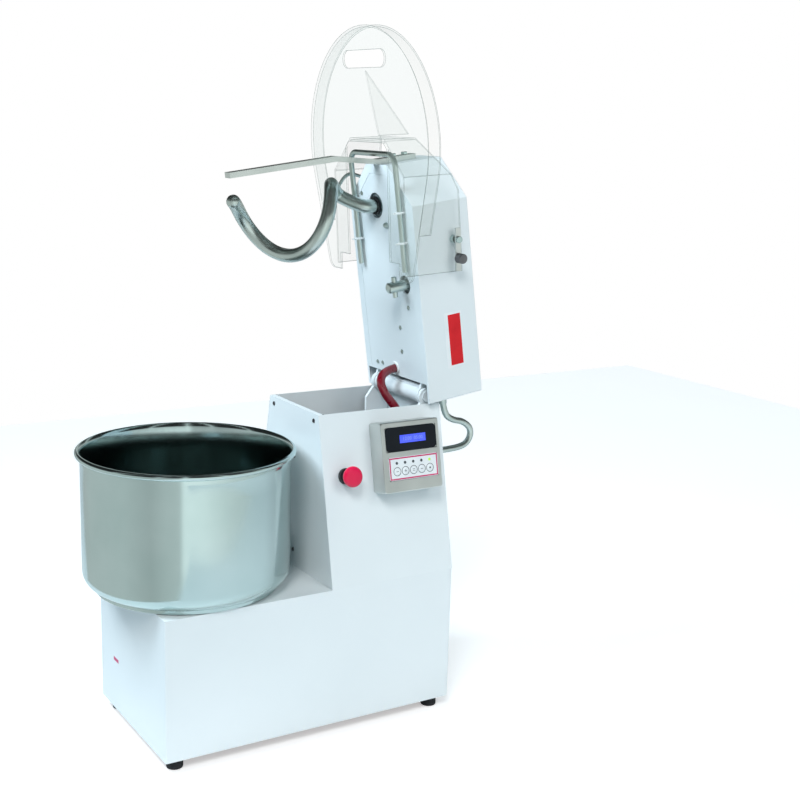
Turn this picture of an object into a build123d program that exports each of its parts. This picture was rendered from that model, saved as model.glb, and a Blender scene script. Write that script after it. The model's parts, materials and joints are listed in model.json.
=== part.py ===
"""Tilting-head spiral dough mixer with a lift-out bowl. Millimetres, +Z up, front towards -Y.

The origin is on the floor, at the centre of the cabinet's footprint.
"""

import os
from math import asin, atan2, cos, pi, radians, sin, tan

from build123d import *

# ---- driving dimensions: cabinet ----
base_width = 388.0
base_length = 700.0
foot_height = 27.0
foot_radius = 18.0
foot_inset = 32.0
deck_height = 340.0
column_front = 37.0
column_height = 714.0
column_top_width = 234.0
sheet = 2.0
fold_radius = 3.0
seam = 0.4
floor_thickness = 5.0
rear_ledge = 14.0
deck_hole = 46.0
front_panel_flange = 12.0
front_screw_z = 698.0
middle_screws = (378.0, 598.0)
screw_radius = 2.6

# ---- head, stated for the head lowered onto the column ----
head_width = 270.0
head_depth = 145.0
head_length = 533.0
head_rear = 333.0
head_underside = 720.0
head_corner_x = 90.0
head_corner_y = 85.0
head_flange = 22.0
pivot_y = 321.0
pivot_z = 730.0
head_raise = 81.8
rear_notch_up = 34.0
spiral_hole = 28.5
stub_hole = 21.0
grommet_along = 62.0
grommet_radius = 15.0
plate_rear = 44.0
head_chain_t = (84.0, 92.0)
screw_places = [(-78, 464), (20, 398), (80, 216), (37, 164), (34, 107), (-82, 63), (-59, 64)]

# ---- hinge ----
hinge_pin_radius = 10.0
hinge_tube_radius = 18.0
hinge_tube_half = 92.0
head_rail = (92.4, 99.4)
hinge_plate = (100.0, 108.0)

# ---- bowl ----
bowl_y = -219.0
bowl_radius = 224.0
bowl_wall = 2.0
bowl_top = 646.0
bowl_bottom = 348.0
bowl_corner = 35.0
rim_width = 9.0
rim_height = 14.0
foot_ring_radius = 200.0
foot_ring_wall = 3.0
foot_ring_bottom = 342.0
lug_half = 13.0
lug_inner = 179.0
lug_gap = 0.6

# ---- tools, measured from the head's hinge end (along) and its underside (up) ----
spiral_x = -20.0
spiral_along = 440.0
hook_radius = 75.0
bar_radius = 14.0
stub_x = 74.0
stub_along = 268.0
stub_radius = 12.3
stub_reach = 45.0
cross_pin_radius = 5.8
cross_pin_length = 47.0
breaker_width = 25.0
breaker_thickness = 12.0
breaker_reach = 361.0
breaker_bolt_up = (45.0, 75.0)
cross_pin_down = 27.0
hook_first = -62.0
hook_turn = 40.0
hook_steps = 10
hook_start_down = 66.0
hook_rise = 27.0

# ---- guard hoop on the underside ----
hoop_half = 96.0
hoop_rod = 6.2
hoop_up = -9.0
hoop_rear = 301.0
hoop_tip = 559.0
hoop_bend = 24.0
clip_along = (366.0, 433.0)
side_rod_radius = 4.0

# ---- lid ----
lid_radius = 254.0
lid_sheet = 4.0
lid_drop = 39.5
lid_centre_along = 569.7
lid_rear_along = 279.7
lid_taper = 16.4
lid_corner = 25.5
lid_skirt = 31.0
lid_pivot_along = 362.0
lid_pivot_up = 98.0
lid_lean = 4.6
lid_cheek = 148.0
lid_cut_half = 90.0
lid_cut_tip = 575.0
lid_rear_cut_half = 130.0
lid_rear_cut_along = 318.0
lid_slot_along = 753.0
lid_slot_half = 89.0
lid_slot_width = 38.0
collar_wall = 4.0
collar_nose_half = 74.0
collar_nose_along = 582.0
collar_side_along = 506.0
knob_along = 321.0

# ---- drive ----
running = 0.05
clear = 0.4
shaft_radius = 14.0
table_shaft_radius = 20.0
chain_pitch = 12.7
chain_thickness = 6.0
table_teeth = 54
main_teeth = 12
spiral_teeth = 27
stub_teeth = 17
chain_z = 146.0
chain_height = 8.0
gearbox_z = (200.0, 312.0)
motor_x = 18.0
motor_z = 256.0
motor_radius = 62.0
motor_length = 190.0
support_z = 612.0
cup_z = (640.0, 700.0)
cup_slot_z = 685.0
cup_slot_gap = 1.4

# ---- control panel on the column's leaning right side ----
panel_box_depth = 50.0
panel_box_y = (160.0, 310.0)
panel_box_u = (197.0, 353.0)
estop_y = 91.0
estop_u = 243.5
window_y = (170.0, 302.0)
window_u = (287.0, 341.0)
screen_y = (206.5, 274.0)
screen_u = (304.5, 322.5)
pad_y = (174.0, 301.0)
pad_u = (224.0, 275.0)
lamp_u = 261.8
key_u = 243.3
key_first_y = 194.0
key_pitch = 21.3
key_radius = 7.6

# ---- cables ----
gland_thread = 9.0
mains_x = -90.0
mains_z = 80.0
conduit_x = 110.0
conduit_low_z = 599.0
conduit_up = 50.0
conduit_radius = 7.5
conduit_route = [
    (110, 361.3, 730.0), (110, 367.6, 686.2), (110, 392, 668), (110, 424, 662),
    (110, 448, 640), (110, 440, 610), (110, 410, 599), (110, 362.4, 599),
]
hose_radius = 10.0
hose_route = [
    (0, 306.9, 778.5), (0, 276, 774.0), (12, 252, 754), (22, 264, 720),
    (32, 290, 688), (38, 298, 662), (38, 298, 628.4),
]

side_lean = atan2(base_width / 2 - column_top_width / 2, column_height - deck_height)
half_base = base_width / 2
front_y = -base_length / 2
rear_y = base_length / 2
main_x = stub_x
main_y = head_rear - stub_along
lid_z = (head_underside - lid_drop, head_underside - lid_drop + lid_sheet)
bar_x = (lid_cheek + collar_wall + 0.1, lid_cheek + collar_wall + 5)


# ---- small building blocks ----
def block(x0, x1, y0, y1, z0, z1):
    return Pos((x0 + x1) / 2, (y0 + y1) / 2, (z0 + z1) / 2) * Box(x1 - x0, y1 - y0, z1 - z0)


def rod_z(x, y, z0, z1, radius):
    return Pos(x, y, (z0 + z1) / 2) * Cylinder(radius, z1 - z0)


def rod_x(x0, x1, y, z, radius):
    return Pos((x0 + x1) / 2, y, z) * Rot(0, 90, 0) * Cylinder(radius, x1 - x0)


def rod_y(x, y0, y1, z, radius):
    return Pos(x, (y0 + y1) / 2, z) * Rot(90, 0, 0) * Cylinder(radius, y1 - y0)


def prism(points, way, length):
    face = make_face(Polyline(*points, close=True))
    return extrude(face, amount=length, dir=way)


def prism_x(outline, x0, x1):
    return prism([(x0, y, z) for y, z in outline], (1, 0, 0), x1 - x0)


def prism_y(outline, y0, y1):
    return prism([(x, y0, z) for x, z in outline], (0, 1, 0), y1 - y0)


def prism_z(outline, z0, z1):
    return prism([(x, y, z0) for x, y in outline], (0, 0, 1), z1 - z0)


def both_sides(part):
    return part + mirror(part, about=Plane.YZ)


def half_width(z):
    """Outer half width of the column at height z."""
    return half_base - max(0.0, z - deck_height) * tan(side_lean)


def turned(part, angle, y, z):
    """The part turned about an axis along X through (y, z)."""
    return Pos(0, y, z) * Rot(angle, 0, 0) * Pos(0, -y, -z) * part


def raised(part):
    return turned(part, -head_raise, pivot_y, pivot_z)


def along(s):
    """Y of a point s from the head's hinge end, with the head lowered."""
    return head_rear - s


def up(t):
    """Z of a point t above the head's underside, with the head lowered."""
    return head_underside + t


def bent_rod(route, radii, radius):
    path = FilletPolyline(*route, radius=radii)
    start = path @ 0
    ring = Plane(origin=start, z_dir=path % 0) * Circle(radius)
    return sweep(ring, path=path)


def bend_radii(route, share=0.45):
    """The largest arcs that the runs of a route leave room for."""
    radii = []
    for before, corner, after in zip(route, route[1:], route[2:]):
        run_in = Vector(*corner) - Vector(*before)
        run_out = Vector(*after) - Vector(*corner)
        turn = radians(run_in.get_angle(run_out))
        radii.append(share * min(run_in.length, run_out.length) / tan(turn / 2))
    return radii


def save(name, part):
    part.label = name
    export_step(part, f"parts/{name}.step")


# ---- cabinet ----
def column_outline(inset, z0, z1):
    low = half_width(z0) - inset
    high = half_width(z1) - inset
    return [(-low, z0), (low, z0), (high, z1), (-high, z1)]


def cabinet_shell():
    base = block(-half_base, half_base, front_y, rear_y, foot_height, deck_height)
    base = fillet(base.edges().filter_by(Axis.Z), fold_radius)
    column = prism_y(column_outline(0, deck_height, column_height), column_front, rear_y)
    inside = block(
        -half_base + sheet, half_base - sheet, front_y + sheet, rear_y - sheet,
        foot_height, deck_height - sheet,
    )
    shaft_space = prism_y(
        column_outline(sheet, deck_height - 2 * sheet, column_height + 1),
        column_front + sheet, rear_y - sheet,
    )
    front_gap = prism_y(
        column_outline(sheet, deck_height + sheet, column_height + 1),
        column_front - 1, column_front + 2 * sheet,
    )
    rear_gap = prism_y(
        column_outline(rear_ledge, deck_height + sheet, column_height + 1),
        rear_y - 2 * sheet, rear_y + 1,
    )
    low_rear_gap = block(
        -half_base + rear_ledge, half_base - rear_ledge, rear_y - 2 * sheet, rear_y + 1,
        foot_height + rear_ledge, deck_height + 2 * sheet,
    )
    shaft_hole = rod_z(0, bowl_y, deck_height - 2 * sheet, deck_height + 1, deck_hole)
    shell = base + column - inside - shaft_space - front_gap - rear_gap - low_rear_gap
    return shell - shaft_hole


def column_front_panel():
    low = deck_height + sheet + seam
    panel = prism_y(column_outline(sheet + seam, low, column_height), column_front, column_front + sheet)
    flange = block(
        -half_width(column_height) + sheet + 1, half_width(column_height) - sheet - 1,
        column_front + sheet - 0.5, column_front + front_panel_flange,
        column_height - sheet, column_height,
    )
    panel = panel + flange
    for x, z in front_screw_places():
        panel = panel - rod_y(x, column_front - 1, column_front + sheet + 1, z, screw_radius)
    return panel


def front_screw_places():
    corner = half_width(front_screw_z) - 24
    return [(-corner, front_screw_z), (corner, front_screw_z)] + [(6.0, z) for z in middle_screws]


def rear_panel():
    z0 = foot_height + rear_ledge + seam
    outline = [
        (-half_base + rear_ledge + seam, z0),
        (half_base - rear_ledge - seam, z0),
        (half_base - rear_ledge - seam, deck_height),
        (half_width(column_height) - rear_ledge - seam, column_height),
        (-half_width(column_height) + rear_ledge + seam, column_height),
        (-half_base + rear_ledge + seam, deck_height),
    ]
    panel = prism_y(outline, rear_y - sheet, rear_y)
    for column in range(2):
        for row in range(7):
            x = -104 + 128 * column
            z = 120 + 22 * row
            panel = panel - block(x, x + 80, rear_y - sheet - 1, rear_y + 1, z, z + 6)
    panel = panel - rod_y(conduit_x, rear_y - 3, rear_y + 1, conduit_low_z, gland_thread)
    return panel - rod_y(mains_x, rear_y - 3, rear_y + 1, mains_z, gland_thread)


def floor_plate():
    inner = half_base - sheet - seam
    plate = block(
        -inner, inner, front_y + sheet + seam, rear_y - sheet - seam,
        foot_height, foot_height + floor_thickness,
    )
    for x, y in foot_places():
        plate = plate - rod_z(x, y, foot_height - 1, foot_height + floor_thickness + 1, 5.2)
    return plate


def foot_places():
    x = half_base - foot_inset
    y = rear_y - foot_inset
    return [(-x, -y), (x, -y), (-x, y), (x, y)]


def rubber_feet():
    feet = []
    for x, y in foot_places():
        foot = rod_z(x, y, 0, foot_height, foot_radius)
        foot = chamfer(foot.edges().group_by(Axis.Z)[0], 2.5)
        stud = rod_z(x, y, foot_height - 4, foot_height + floor_thickness + 8, 5.0)
        nut = Pos(x, y, foot_height + floor_thickness) * extrude(RegularPolygon(8.5, 6), amount=7)
        feet.append(foot + stud + nut)
    return Compound(children=feet)


# ---- hinge ----


def hinge_frame():
    """Two plates that stand on the floor plate and carry the hinge pin, tied across the back."""
    z0 = foot_height + floor_thickness
    outline = [
        (262, z0), (345, z0), (345, 700), (pivot_y + 16, pivot_z - 14),
        (pivot_y - 16, pivot_z - 14), (285, 690), (285, 200),
    ]
    plate = prism_x(outline, *hinge_plate)
    plate = plate + rod_x(*hinge_plate, pivot_y, pivot_z - 2, 20)
    plate = plate - rod_x(hinge_plate[0] - 1, hinge_plate[1] + 1, pivot_y, pivot_z, hinge_pin_radius + 0.02)
    frame = both_sides(plate)
    tie = block(-hinge_plate[0], hinge_plate[0], 337, 345, 430, 640)
    return frame + tie


def hinge_pin():
    pin = rod_x(-111, 111, pivot_y, pivot_z, hinge_pin_radius)
    collars = rod_x(108.3, 111, pivot_y, pivot_z, 13) + rod_x(-111, -108.3, pivot_y, pivot_z, 13)
    return pin + collars


def hinge_springs():
    """Two close-wound counterbalance springs round the pin, inside the hinge tube."""
    coils = []
    for start in (-64.0, 8.0):
        coil = None
        for turn in range(11):
            x = start + 2.6 + turn * 5.1
            ring = Pos(x, pivot_y, pivot_z) * Rot(0, 90, 0) * Torus(12.5, 2.0)
            coil = ring if coil is None else coil + ring
        sleeve = rod_x(start + 2.6, start + 2.6 + 51, pivot_y, pivot_z, 13.2)
        sleeve = sleeve - rod_x(start, start + 60, pivot_y, pivot_z, 11.8)
        coils.append(coil + sleeve)
    return Compound(children=coils)


# ---- drive inside the cabinet ----


def pitch_radius(teeth):
    return chain_pitch / (2 * sin(pi / teeth))


def sprocket(teeth, x, y, z0, z1, bore):
    pitch = pitch_radius(teeth)
    outline = []
    for tooth in range(teeth):
        middle = 2 * pi * tooth / teeth
        for share, reach in ((-0.30, -3.4), (-0.11, 2.6), (0.11, 2.6), (0.30, -3.4)):
            angle = middle + share * 2 * pi / teeth
            outline.append((x + (pitch + reach) * cos(angle), y + (pitch + reach) * sin(angle)))
    disc = prism_z(outline, z0, z1)
    return disc - rod_z(x, y, z0 - 1, z1 + 1, bore)


def chain_band(teeth_a, place_a, teeth_b, place_b, z0, z1):
    """A closed band round two sprockets, just outside their tooth tips."""
    inner = 2.6 + clear
    loops = []
    for offset in (inner, inner + chain_thickness):
        ra = pitch_radius(teeth_a) + offset
        rb = pitch_radius(teeth_b) + offset
        dx = place_b[0] - place_a[0]
        dy = place_b[1] - place_a[1]
        gap = (dx * dx + dy * dy) ** 0.5
        line = atan2(dy, dx)
        lean = asin((rb - ra) / gap)
        corners = []
        for side in (1, -1):
            angle = line + side * (pi / 2 + lean)
            corners.append((place_a[0] + ra * cos(angle), place_a[1] + ra * sin(angle)))
            corners.append((place_b[0] + rb * cos(angle), place_b[1] + rb * sin(angle)))
        quad = [corners[0], corners[1], corners[3], corners[2]]
        loop = prism_z(quad, z0, z1) + rod_z(*place_a, z0, z1, ra) + rod_z(*place_b, z0, z1, rb)
        loops.append(loop)
    return loops[1] - loops[0]


def bowl_drive_chain():
    places = (main_x, main_y), (0, bowl_y)
    return chain_band(main_teeth, places[0], table_teeth, places[1], chain_z, chain_z + chain_height)


def main_sprocket():
    return sprocket(main_teeth, main_x, main_y, chain_z, chain_z + chain_height, shaft_radius)


def table_sprocket():
    return sprocket(table_teeth, 0, bowl_y, chain_z, chain_z + chain_height, table_shaft_radius)


def gearbox():
    """Worm box: upright output shaft, motor on the rear, feet on the floor plate."""
    x0 = motor_x - 40
    x1 = main_x + 52
    y0 = main_y - 50
    y1 = main_y + 58
    floor = foot_height + floor_thickness
    box = block(x0, x1, y0, y1, *gearbox_z)
    box = fillet(box.edges().filter_by(Axis.Z), 10)
    hub = rod_z(main_x, main_y, gearbox_z[0] - 10, gearbox_z[1] + 10, 34)
    flange = block(motor_x - 60, motor_x + 60, y1, y1 + 10, motor_z - 56, motor_z + 60)
    feet = block(x0 - 6, x1 + 6, main_y + 36, y1, floor, floor + 12)
    posts = block(x0 + 11, x0 + 21, main_y + 37, y1 - 1, floor + 6, gearbox_z[0] + 5)
    posts = posts + block(x1 - 21, x1 - 11, main_y + 37, y1 - 1, floor + 6, gearbox_z[0] + 5)
    body = box + hub + flange + feet + posts
    return body - rod_z(main_x, main_y, floor + 20, gearbox_z[1] + 20, shaft_radius + running)


def motor():
    """Finned motor lying along Y, with its fan cover and terminal box."""
    y0 = main_y + 68.3
    y1 = y0 + motor_length
    body = rod_y(motor_x, y0, y1, motor_z, motor_radius - 5)
    for fin in range(24):
        rib = block(-1.5, 1.5, 0, motor_length - 20, motor_radius - 7, motor_radius)
        body = body + Pos(motor_x, y0 + 10, motor_z) * Rot(0, 15 * fin, 0) * rib
    cap = rod_y(motor_x, y1 + 0.5, y1 + 22, motor_z, motor_radius)
    cap = cap + rod_y(motor_x, y1 - 1, y1 + 1, motor_z, motor_radius - 8)
    lid_z0 = motor_z + motor_radius + 0.3
    box = block(motor_x - 45, motor_x + 45, y0 + 50, y0 + 130, lid_z0, motor_z + 100)
    return Compound(children=[body + cap, box])


def shaft_support():
    """Shelf between the hinge plates that steadies the top of the main shaft."""
    inner = hinge_plate[0] + 4
    top = support_z + 8
    plate = block(-inner, inner, main_y - 23, 160, support_z, top)
    arms = block(hinge_plate[0] - 8, hinge_plate[0] - seam, 150, 336.6, support_z, top)
    plate = plate + both_sides(arms)
    return plate - rod_z(main_x, main_y, support_z - 1, top + 1, shaft_radius + 6)


def bearing(x, y, z0, z1, outer, bore):
    return rod_z(x, y, z0, z1, outer) - rod_z(x, y, z0 - 1, z1 + 1, bore + running)


def shaft_bearings():
    floor = foot_height + floor_thickness
    under_deck = deck_height - sheet
    upper = bearing(main_x, main_y, support_z + 8, support_z + 26, 22, shaft_radius)
    lower = bearing(main_x, main_y, floor, floor + 28, 32, shaft_radius)
    table = bearing(0, bowl_y, 250, under_deck, 44, table_shaft_radius)
    table = table + bearing(0, bowl_y, under_deck - 8, under_deck, 75, table_shaft_radius)
    return Compound(children=[upper, lower, table])


def main_shaft():
    return rod_z(main_x, main_y, foot_height + floor_thickness + 4, cup_z[0] + 28, shaft_radius)


def drive_cup():
    """The open coupling cup that the head's drive stub drops into, slotted for the cross pin."""
    floor = cup_z[0] + 32
    cup = rod_z(main_x, main_y, *cup_z, 22)
    cup = cup - rod_z(main_x, main_y, floor, cup_z[1] + 1, 17)
    cup = cup - rod_z(main_x, main_y, cup_z[0] - 1, cup_z[0] + 28, shaft_radius)
    half = cross_pin_radius + cup_slot_gap
    slot = block(main_x - half, main_x + half, main_y - 30, main_y + 30, cup_slot_z, cup_z[1] + 1)
    return cup - slot


def turntable():
    top = bowl_bottom - 0.5
    plate = rod_z(0, bowl_y, deck_height + 1.5, top, foot_ring_radius - foot_ring_wall - 2)
    half = lug_half + lug_gap
    notch_cut = block(-half, half, lug_inner - 4, foot_ring_radius + 5, deck_height - 10, bowl_bottom + 2)
    for notch in range(3):
        plate = plate - Pos(0, bowl_y, 0) * Rot(0, 0, 120 * notch) * notch_cut
    return plate - rod_z(0, bowl_y, deck_height, top - 3, table_shaft_radius)


def table_shaft():
    return rod_z(0, bowl_y, 100, bowl_bottom - 3.5, table_shaft_radius)


def bowl():
    outer = rod_z(0, bowl_y, bowl_bottom, bowl_top - 4, bowl_radius)
    outer = fillet(outer.edges().group_by(Axis.Z)[0], bowl_corner)
    inner = rod_z(0, bowl_y, bowl_bottom + bowl_wall, bowl_top + 1, bowl_radius - bowl_wall)
    inner = fillet(inner.edges().group_by(Axis.Z)[0], bowl_corner - bowl_wall)
    rim = rod_z(0, bowl_y, bowl_top - rim_height, bowl_top, bowl_radius + 2 + rim_width)
    rim = rim - rod_z(0, bowl_y, bowl_top - rim_height - 1, bowl_top + 1, bowl_radius - 0.5)
    rim = fillet(rim.edges().filter_by(GeomType.CIRCLE), 3.5)
    ring = rod_z(0, bowl_y, foot_ring_bottom, bowl_bottom + 6, foot_ring_radius)
    ring = ring - rod_z(0, bowl_y, foot_ring_bottom - 1, bowl_bottom + 7, foot_ring_radius - foot_ring_wall)
    lug = block(-lug_half, lug_half, lug_inner, foot_ring_radius - 1, foot_ring_bottom, bowl_bottom + 1)
    for number in range(3):
        ring = ring + Pos(0, bowl_y, 0) * Rot(0, 0, 120 * number) * lug
    return outer + rim + ring - inner


# ---- control panel on the leaning side ----
def on_side(y, u, depth):
    """A frame on the column's right side: local X to the rear, local Y up the slope, local Z outwards."""
    x = half_base - u * sin(side_lean) + depth * cos(side_lean)
    z = deck_height + u * cos(side_lean) + depth * sin(side_lean)
    outward = (cos(side_lean), 0, sin(side_lean))
    return Plane(origin=(x, y, z), x_dir=(0, 1, 0), z_dir=outward).location


def side_block(y0, y1, u0, u1, d0, d1):
    place = on_side((y0 + y1) / 2, (u0 + u1) / 2, (d0 + d1) / 2)
    return place * Box(y1 - y0, u1 - u0, d1 - d0)


def side_rod(y, u, d0, d1, radius):
    return on_side(y, u, (d0 + d1) / 2) * Cylinder(radius, d1 - d0)


def outward_edges(part):
    """Edges that run square to the column's side."""
    way = Axis((0, 0, 0), (cos(side_lean), 0, sin(side_lean)))
    return part.edges().filter_by(way)


def control_box():
    box = side_block(*panel_box_y, *panel_box_u, 0.3, panel_box_depth)
    box = fillet(outward_edges(box), 6)
    box = fillet(box.edges().filter_by(GeomType.LINE).filter_by(Axis.Y).sort_by(Axis.X)[-2:], 2.5)
    box = box - side_block(*window_y, *window_u, panel_box_depth - 3, panel_box_depth + 1)
    box = box - side_block(*pad_y, *pad_u, panel_box_depth - 3, panel_box_depth + 1)
    inside_y = (panel_box_y[0] + 3, panel_box_y[1] - 3)
    inside_u = (panel_box_u[0] + 3, panel_box_u[1] - 3)
    return box - side_block(*inside_y, *inside_u, 2, panel_box_depth - 6)


def control_window():
    window = side_block(
        window_y[0] + 0.2, window_y[1] - 0.2, window_u[0] + 0.2, window_u[1] - 0.2,
        panel_box_depth - 2.9, panel_box_depth + 0.4,
    )
    window = fillet(outward_edges(window), 5)
    return window - side_block(*screen_y, *screen_u, panel_box_depth - 1, panel_box_depth + 1)


def display_screen():
    return side_block(
        screen_y[0] + 0.2, screen_y[1] - 0.2, screen_u[0] + 0.2, screen_u[1] - 0.2,
        panel_box_depth - 0.9, panel_box_depth + 0.2,
    )


def key_places():
    return [key_first_y + key_pitch * number for number in range(5)]


def keypad_plate():
    plate = side_block(
        pad_y[0] + 0.2, pad_y[1] - 0.2, pad_u[0] + 0.2, pad_u[1] - 0.2,
        panel_box_depth - 2.9, panel_box_depth + 0.5,
    )
    for y in key_places():
        plate = plate - side_rod(y, key_u, panel_box_depth - 1.6, panel_box_depth + 1, key_radius + 0.3)
        plate = plate - side_rod(y, lamp_u, panel_box_depth - 1.6, panel_box_depth + 1, 2.7)
    return plate


def status_lamps():
    lamps = [side_rod(y, lamp_u, panel_box_depth - 1.4, panel_box_depth + 0.9, 2.4) for y in key_places()]
    return Compound(children=lamps)


def key(y):
    return side_rod(y, key_u, panel_box_depth - 0.8, panel_box_depth + 1.0, key_radius)


def estop_collar():
    collar = side_rod(estop_y, estop_u, 0.3, 9, 18) + side_rod(estop_y, estop_u, 8, 22, 14)
    return collar - side_rod(estop_y, estop_u, 4, 30, 9)


def estop_button():
    head = side_rod(estop_y, estop_u, 28, 41, 20)
    head = fillet(head.edges().filter_by(GeomType.CIRCLE).sort_by(Axis.X)[-1], 5)
    return head + side_rod(estop_y, estop_u, 12, 30, 8.6)


# ---- head ----
def head_outline(inset):
    """The head seen from above, lowered, moved inwards by inset."""
    half = head_width / 2 - inset
    tip = head_length - inset
    slope = head_corner_y / head_corner_x
    side_end = head_length - head_corner_y - inset * ((1 + slope * slope) ** 0.5 - slope)
    nose_half = half - (tip - side_end) / slope
    return [
        (-half, along(inset)), (half, along(inset)), (half, along(side_end)),
        (nose_half, along(tip)), (-nose_half, along(tip)), (-half, along(side_end)),
    ]


def head_cover():
    cover = prism_z(head_outline(0), up(0), up(head_depth))
    cover = fillet(cover.edges().filter_by(Axis.Z), fold_radius)
    cover = fillet(cover.edges().group_by(Axis.Z)[-1], fold_radius)
    cover = cover - prism_z(head_outline(sheet), up(sheet), up(head_depth - sheet))
    opening = prism_z(head_outline(head_flange), up(-1), up(sheet + 1))
    notch = block(
        -head_width / 2 + sheet + 6, head_width / 2 - sheet - 6, along(plate_rear), along(-1),
        up(-1), up(rear_notch_up),
    )
    cover = cover - opening - notch
    exit_hole = rod_y(conduit_x, along(sheet + 1), along(-1), up(conduit_up), gland_thread)
    return raised(cover - exit_hole)


def head_base_plate():
    outline = head_outline(head_flange + seam)
    plate = prism_z(outline, up(0.4), up(6))
    plate = plate - block(-200, 200, along(plate_rear), along(-1), up(-5), up(20))
    plate = plate - rod_z(spiral_x, along(spiral_along), up(-5), up(20), spiral_hole)
    plate = plate - rod_z(stub_x, along(stub_along), up(-5), up(20), stub_hole)
    return raised(plate - rod_z(0, along(grommet_along), up(-5), up(20), grommet_radius - 4))


def head_chassis():
    """Hinge tube, two side rails and the cross plate that carries the tool bearings."""
    tube = rod_x(-hinge_tube_half, hinge_tube_half, pivot_y, pivot_z, hinge_tube_radius)
    rail = [
        (along(3), pivot_z - 10), (along(3), up(58)), (along(468), up(58)),
        (along(468), up(6.4)), (along(plate_rear), up(6.4)), (along(34), up(2)), (pivot_y - 8, up(-6)),
    ]
    side = prism_x(rail, *head_rail) + rod_x(*head_rail, pivot_y, pivot_z, hinge_tube_radius + 3)
    front = block(-head_rail[0], head_rail[0], along(34), along(30), up(4), up(26))
    beam = block(-head_rail[0], head_rail[0], along(250), along(240), up(30), up(58))
    frame = tube + both_sides(side) + front + beam
    frame = frame - rod_x(-120, 120, pivot_y, pivot_z, hinge_pin_radius + running)
    return raised(frame - rod_x(-70, 70, pivot_y, pivot_z, 15))


def head_bearings():
    spiral_seat = rod_z(spiral_x, along(spiral_along), up(6.4), up(70), 34)
    spiral_seat = spiral_seat + rod_z(spiral_x, along(spiral_along), up(6.4), up(14), 50)
    spiral_seat = spiral_seat - rod_z(spiral_x, along(spiral_along), up(0), up(80), 15 + running)
    stub_seat = rod_z(stub_x, along(stub_along), up(6.4), up(70), 18)
    stub_seat = stub_seat - rod_z(stub_x, along(stub_along), up(0), up(80), stub_radius + running)
    return raised(Compound(children=[spiral_seat, stub_seat]))


def head_chain():
    return raised(chain_band(
        stub_teeth, (stub_x, along(stub_along)), spiral_teeth, (spiral_x, along(spiral_along)),
        up(head_chain_t[0]), up(head_chain_t[1]),
    ))


def spiral_shaft():
    shaft = rod_z(spiral_x, along(spiral_along), up(6), up(104), 15)
    nose = rod_z(spiral_x, along(spiral_along), up(-4), up(6.2), 20)
    return raised(shaft + nose)


def spiral_sprocket():
    return raised(sprocket(
        spiral_teeth, spiral_x, along(spiral_along), up(head_chain_t[0]), up(head_chain_t[1]), 15
    ))


def stub_sprocket():
    return raised(sprocket(
        stub_teeth, stub_x, along(stub_along), up(head_chain_t[0]), up(head_chain_t[1]), stub_radius
    ))


def drive_stub():
    stub = rod_z(stub_x, along(stub_along), up(-stub_reach), up(104), stub_radius)
    stub = chamfer(stub.edges().group_by(Axis.Z)[0], 2)
    return raised(stub - cross_pin_solid())


def cross_pin_solid():
    y = along(stub_along)
    half = cross_pin_length / 2
    return rod_y(stub_x, y - half, y + half, up(-cross_pin_down), cross_pin_radius)


def cross_pin():
    return raised(cross_pin_solid())


def hook_route():
    """The spiral's centre line: down the shaft, out to its radius, then round and down."""
    x = spiral_x
    y = along(spiral_along)
    route = [(x, y, up(-4)), (x, y, up(-30))]
    for step in range(hook_steps):
        angle = radians(hook_first + hook_turn * step)
        radius = hook_radius if step < 8 else hook_radius - 13 * (step - 7)
        down = hook_start_down + hook_rise * step
        route.append((x + radius * sin(angle), y - radius * cos(angle), up(-down)))
    return route


def spiral_hook():
    route = hook_route()
    radii = bend_radii(route)
    hook = bent_rod(route, radii, bar_radius)
    return raised(hook)


def breaker_bar():
    outer = breaker_thickness
    bend_s = head_length + 21
    outline = [
        (along(head_length + 0.3), up(98)), (along(head_length + outer), up(98)),
        (along(head_length + outer), up(-2)), (along(bend_s + outer), up(-105)),
        (along(bend_s + outer), up(-breaker_reach)), (along(bend_s), up(-breaker_reach)),
        (along(bend_s), up(-106)), (along(head_length + 0.3), up(-2)),
    ]
    bar = prism_x(outline, -breaker_width / 2, breaker_width / 2)
    for t in breaker_bolt_up:
        bar = bar - rod_y(0, along(head_length + 20), along(head_length - 5), up(t), 4.4)
    return raised(bar)


def breaker_bolts():
    bolts = []
    for t in breaker_bolt_up:
        y = along(head_length + breaker_thickness + 0.1)
        hexagon = Plane(origin=(0, y, up(t)), z_dir=(0, -1, 0)) * RegularPolygon(8, 6)
        bolts.append(extrude(hexagon, amount=6) + rod_y(0, y - 1, along(head_length + 0.4), up(t), 4.0))
    return raised(Compound(children=bolts))


# ---- guard hoop on the underside ----


def guard_hoop():
    route = [
        (-hoop_half, along(hoop_rear), up(hoop_up)), (-hoop_half, along(hoop_tip), up(hoop_up)),
        (hoop_half, along(hoop_tip), up(hoop_up)), (hoop_half, along(hoop_rear), up(hoop_up)),
    ]
    return raised(bent_rod(route, [hoop_bend, hoop_bend], hoop_rod))


def hoop_clips():
    clips = []
    for x in (-hoop_half, hoop_half):
        for s in clip_along:
            ring = rod_y(x, along(s + 2), along(s - 2), up(hoop_up), hoop_rod + 2.6)
            foot = block(x - 8.8, x + 8.8, along(s + 2), along(s - 2), up(hoop_up), up(-0.2))
            clip = ring + foot
            clips.append(clip - rod_y(x, along(s + 5), along(s - 5), up(hoop_up), hoop_rod + 0.02))
    return raised(Compound(children=clips))


def hose_grommet():
    ring = rod_z(0, along(grommet_along), up(-3), up(9), grommet_radius)
    ring = ring - rod_z(0, along(grommet_along), up(0.3), up(6.1), grommet_radius + 1)
    ring = ring + rod_z(0, along(grommet_along), up(0), up(7), grommet_radius - 4.2)
    return raised(ring - rod_z(0, along(grommet_along), up(-5), up(12), hose_radius + 0.02))


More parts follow.
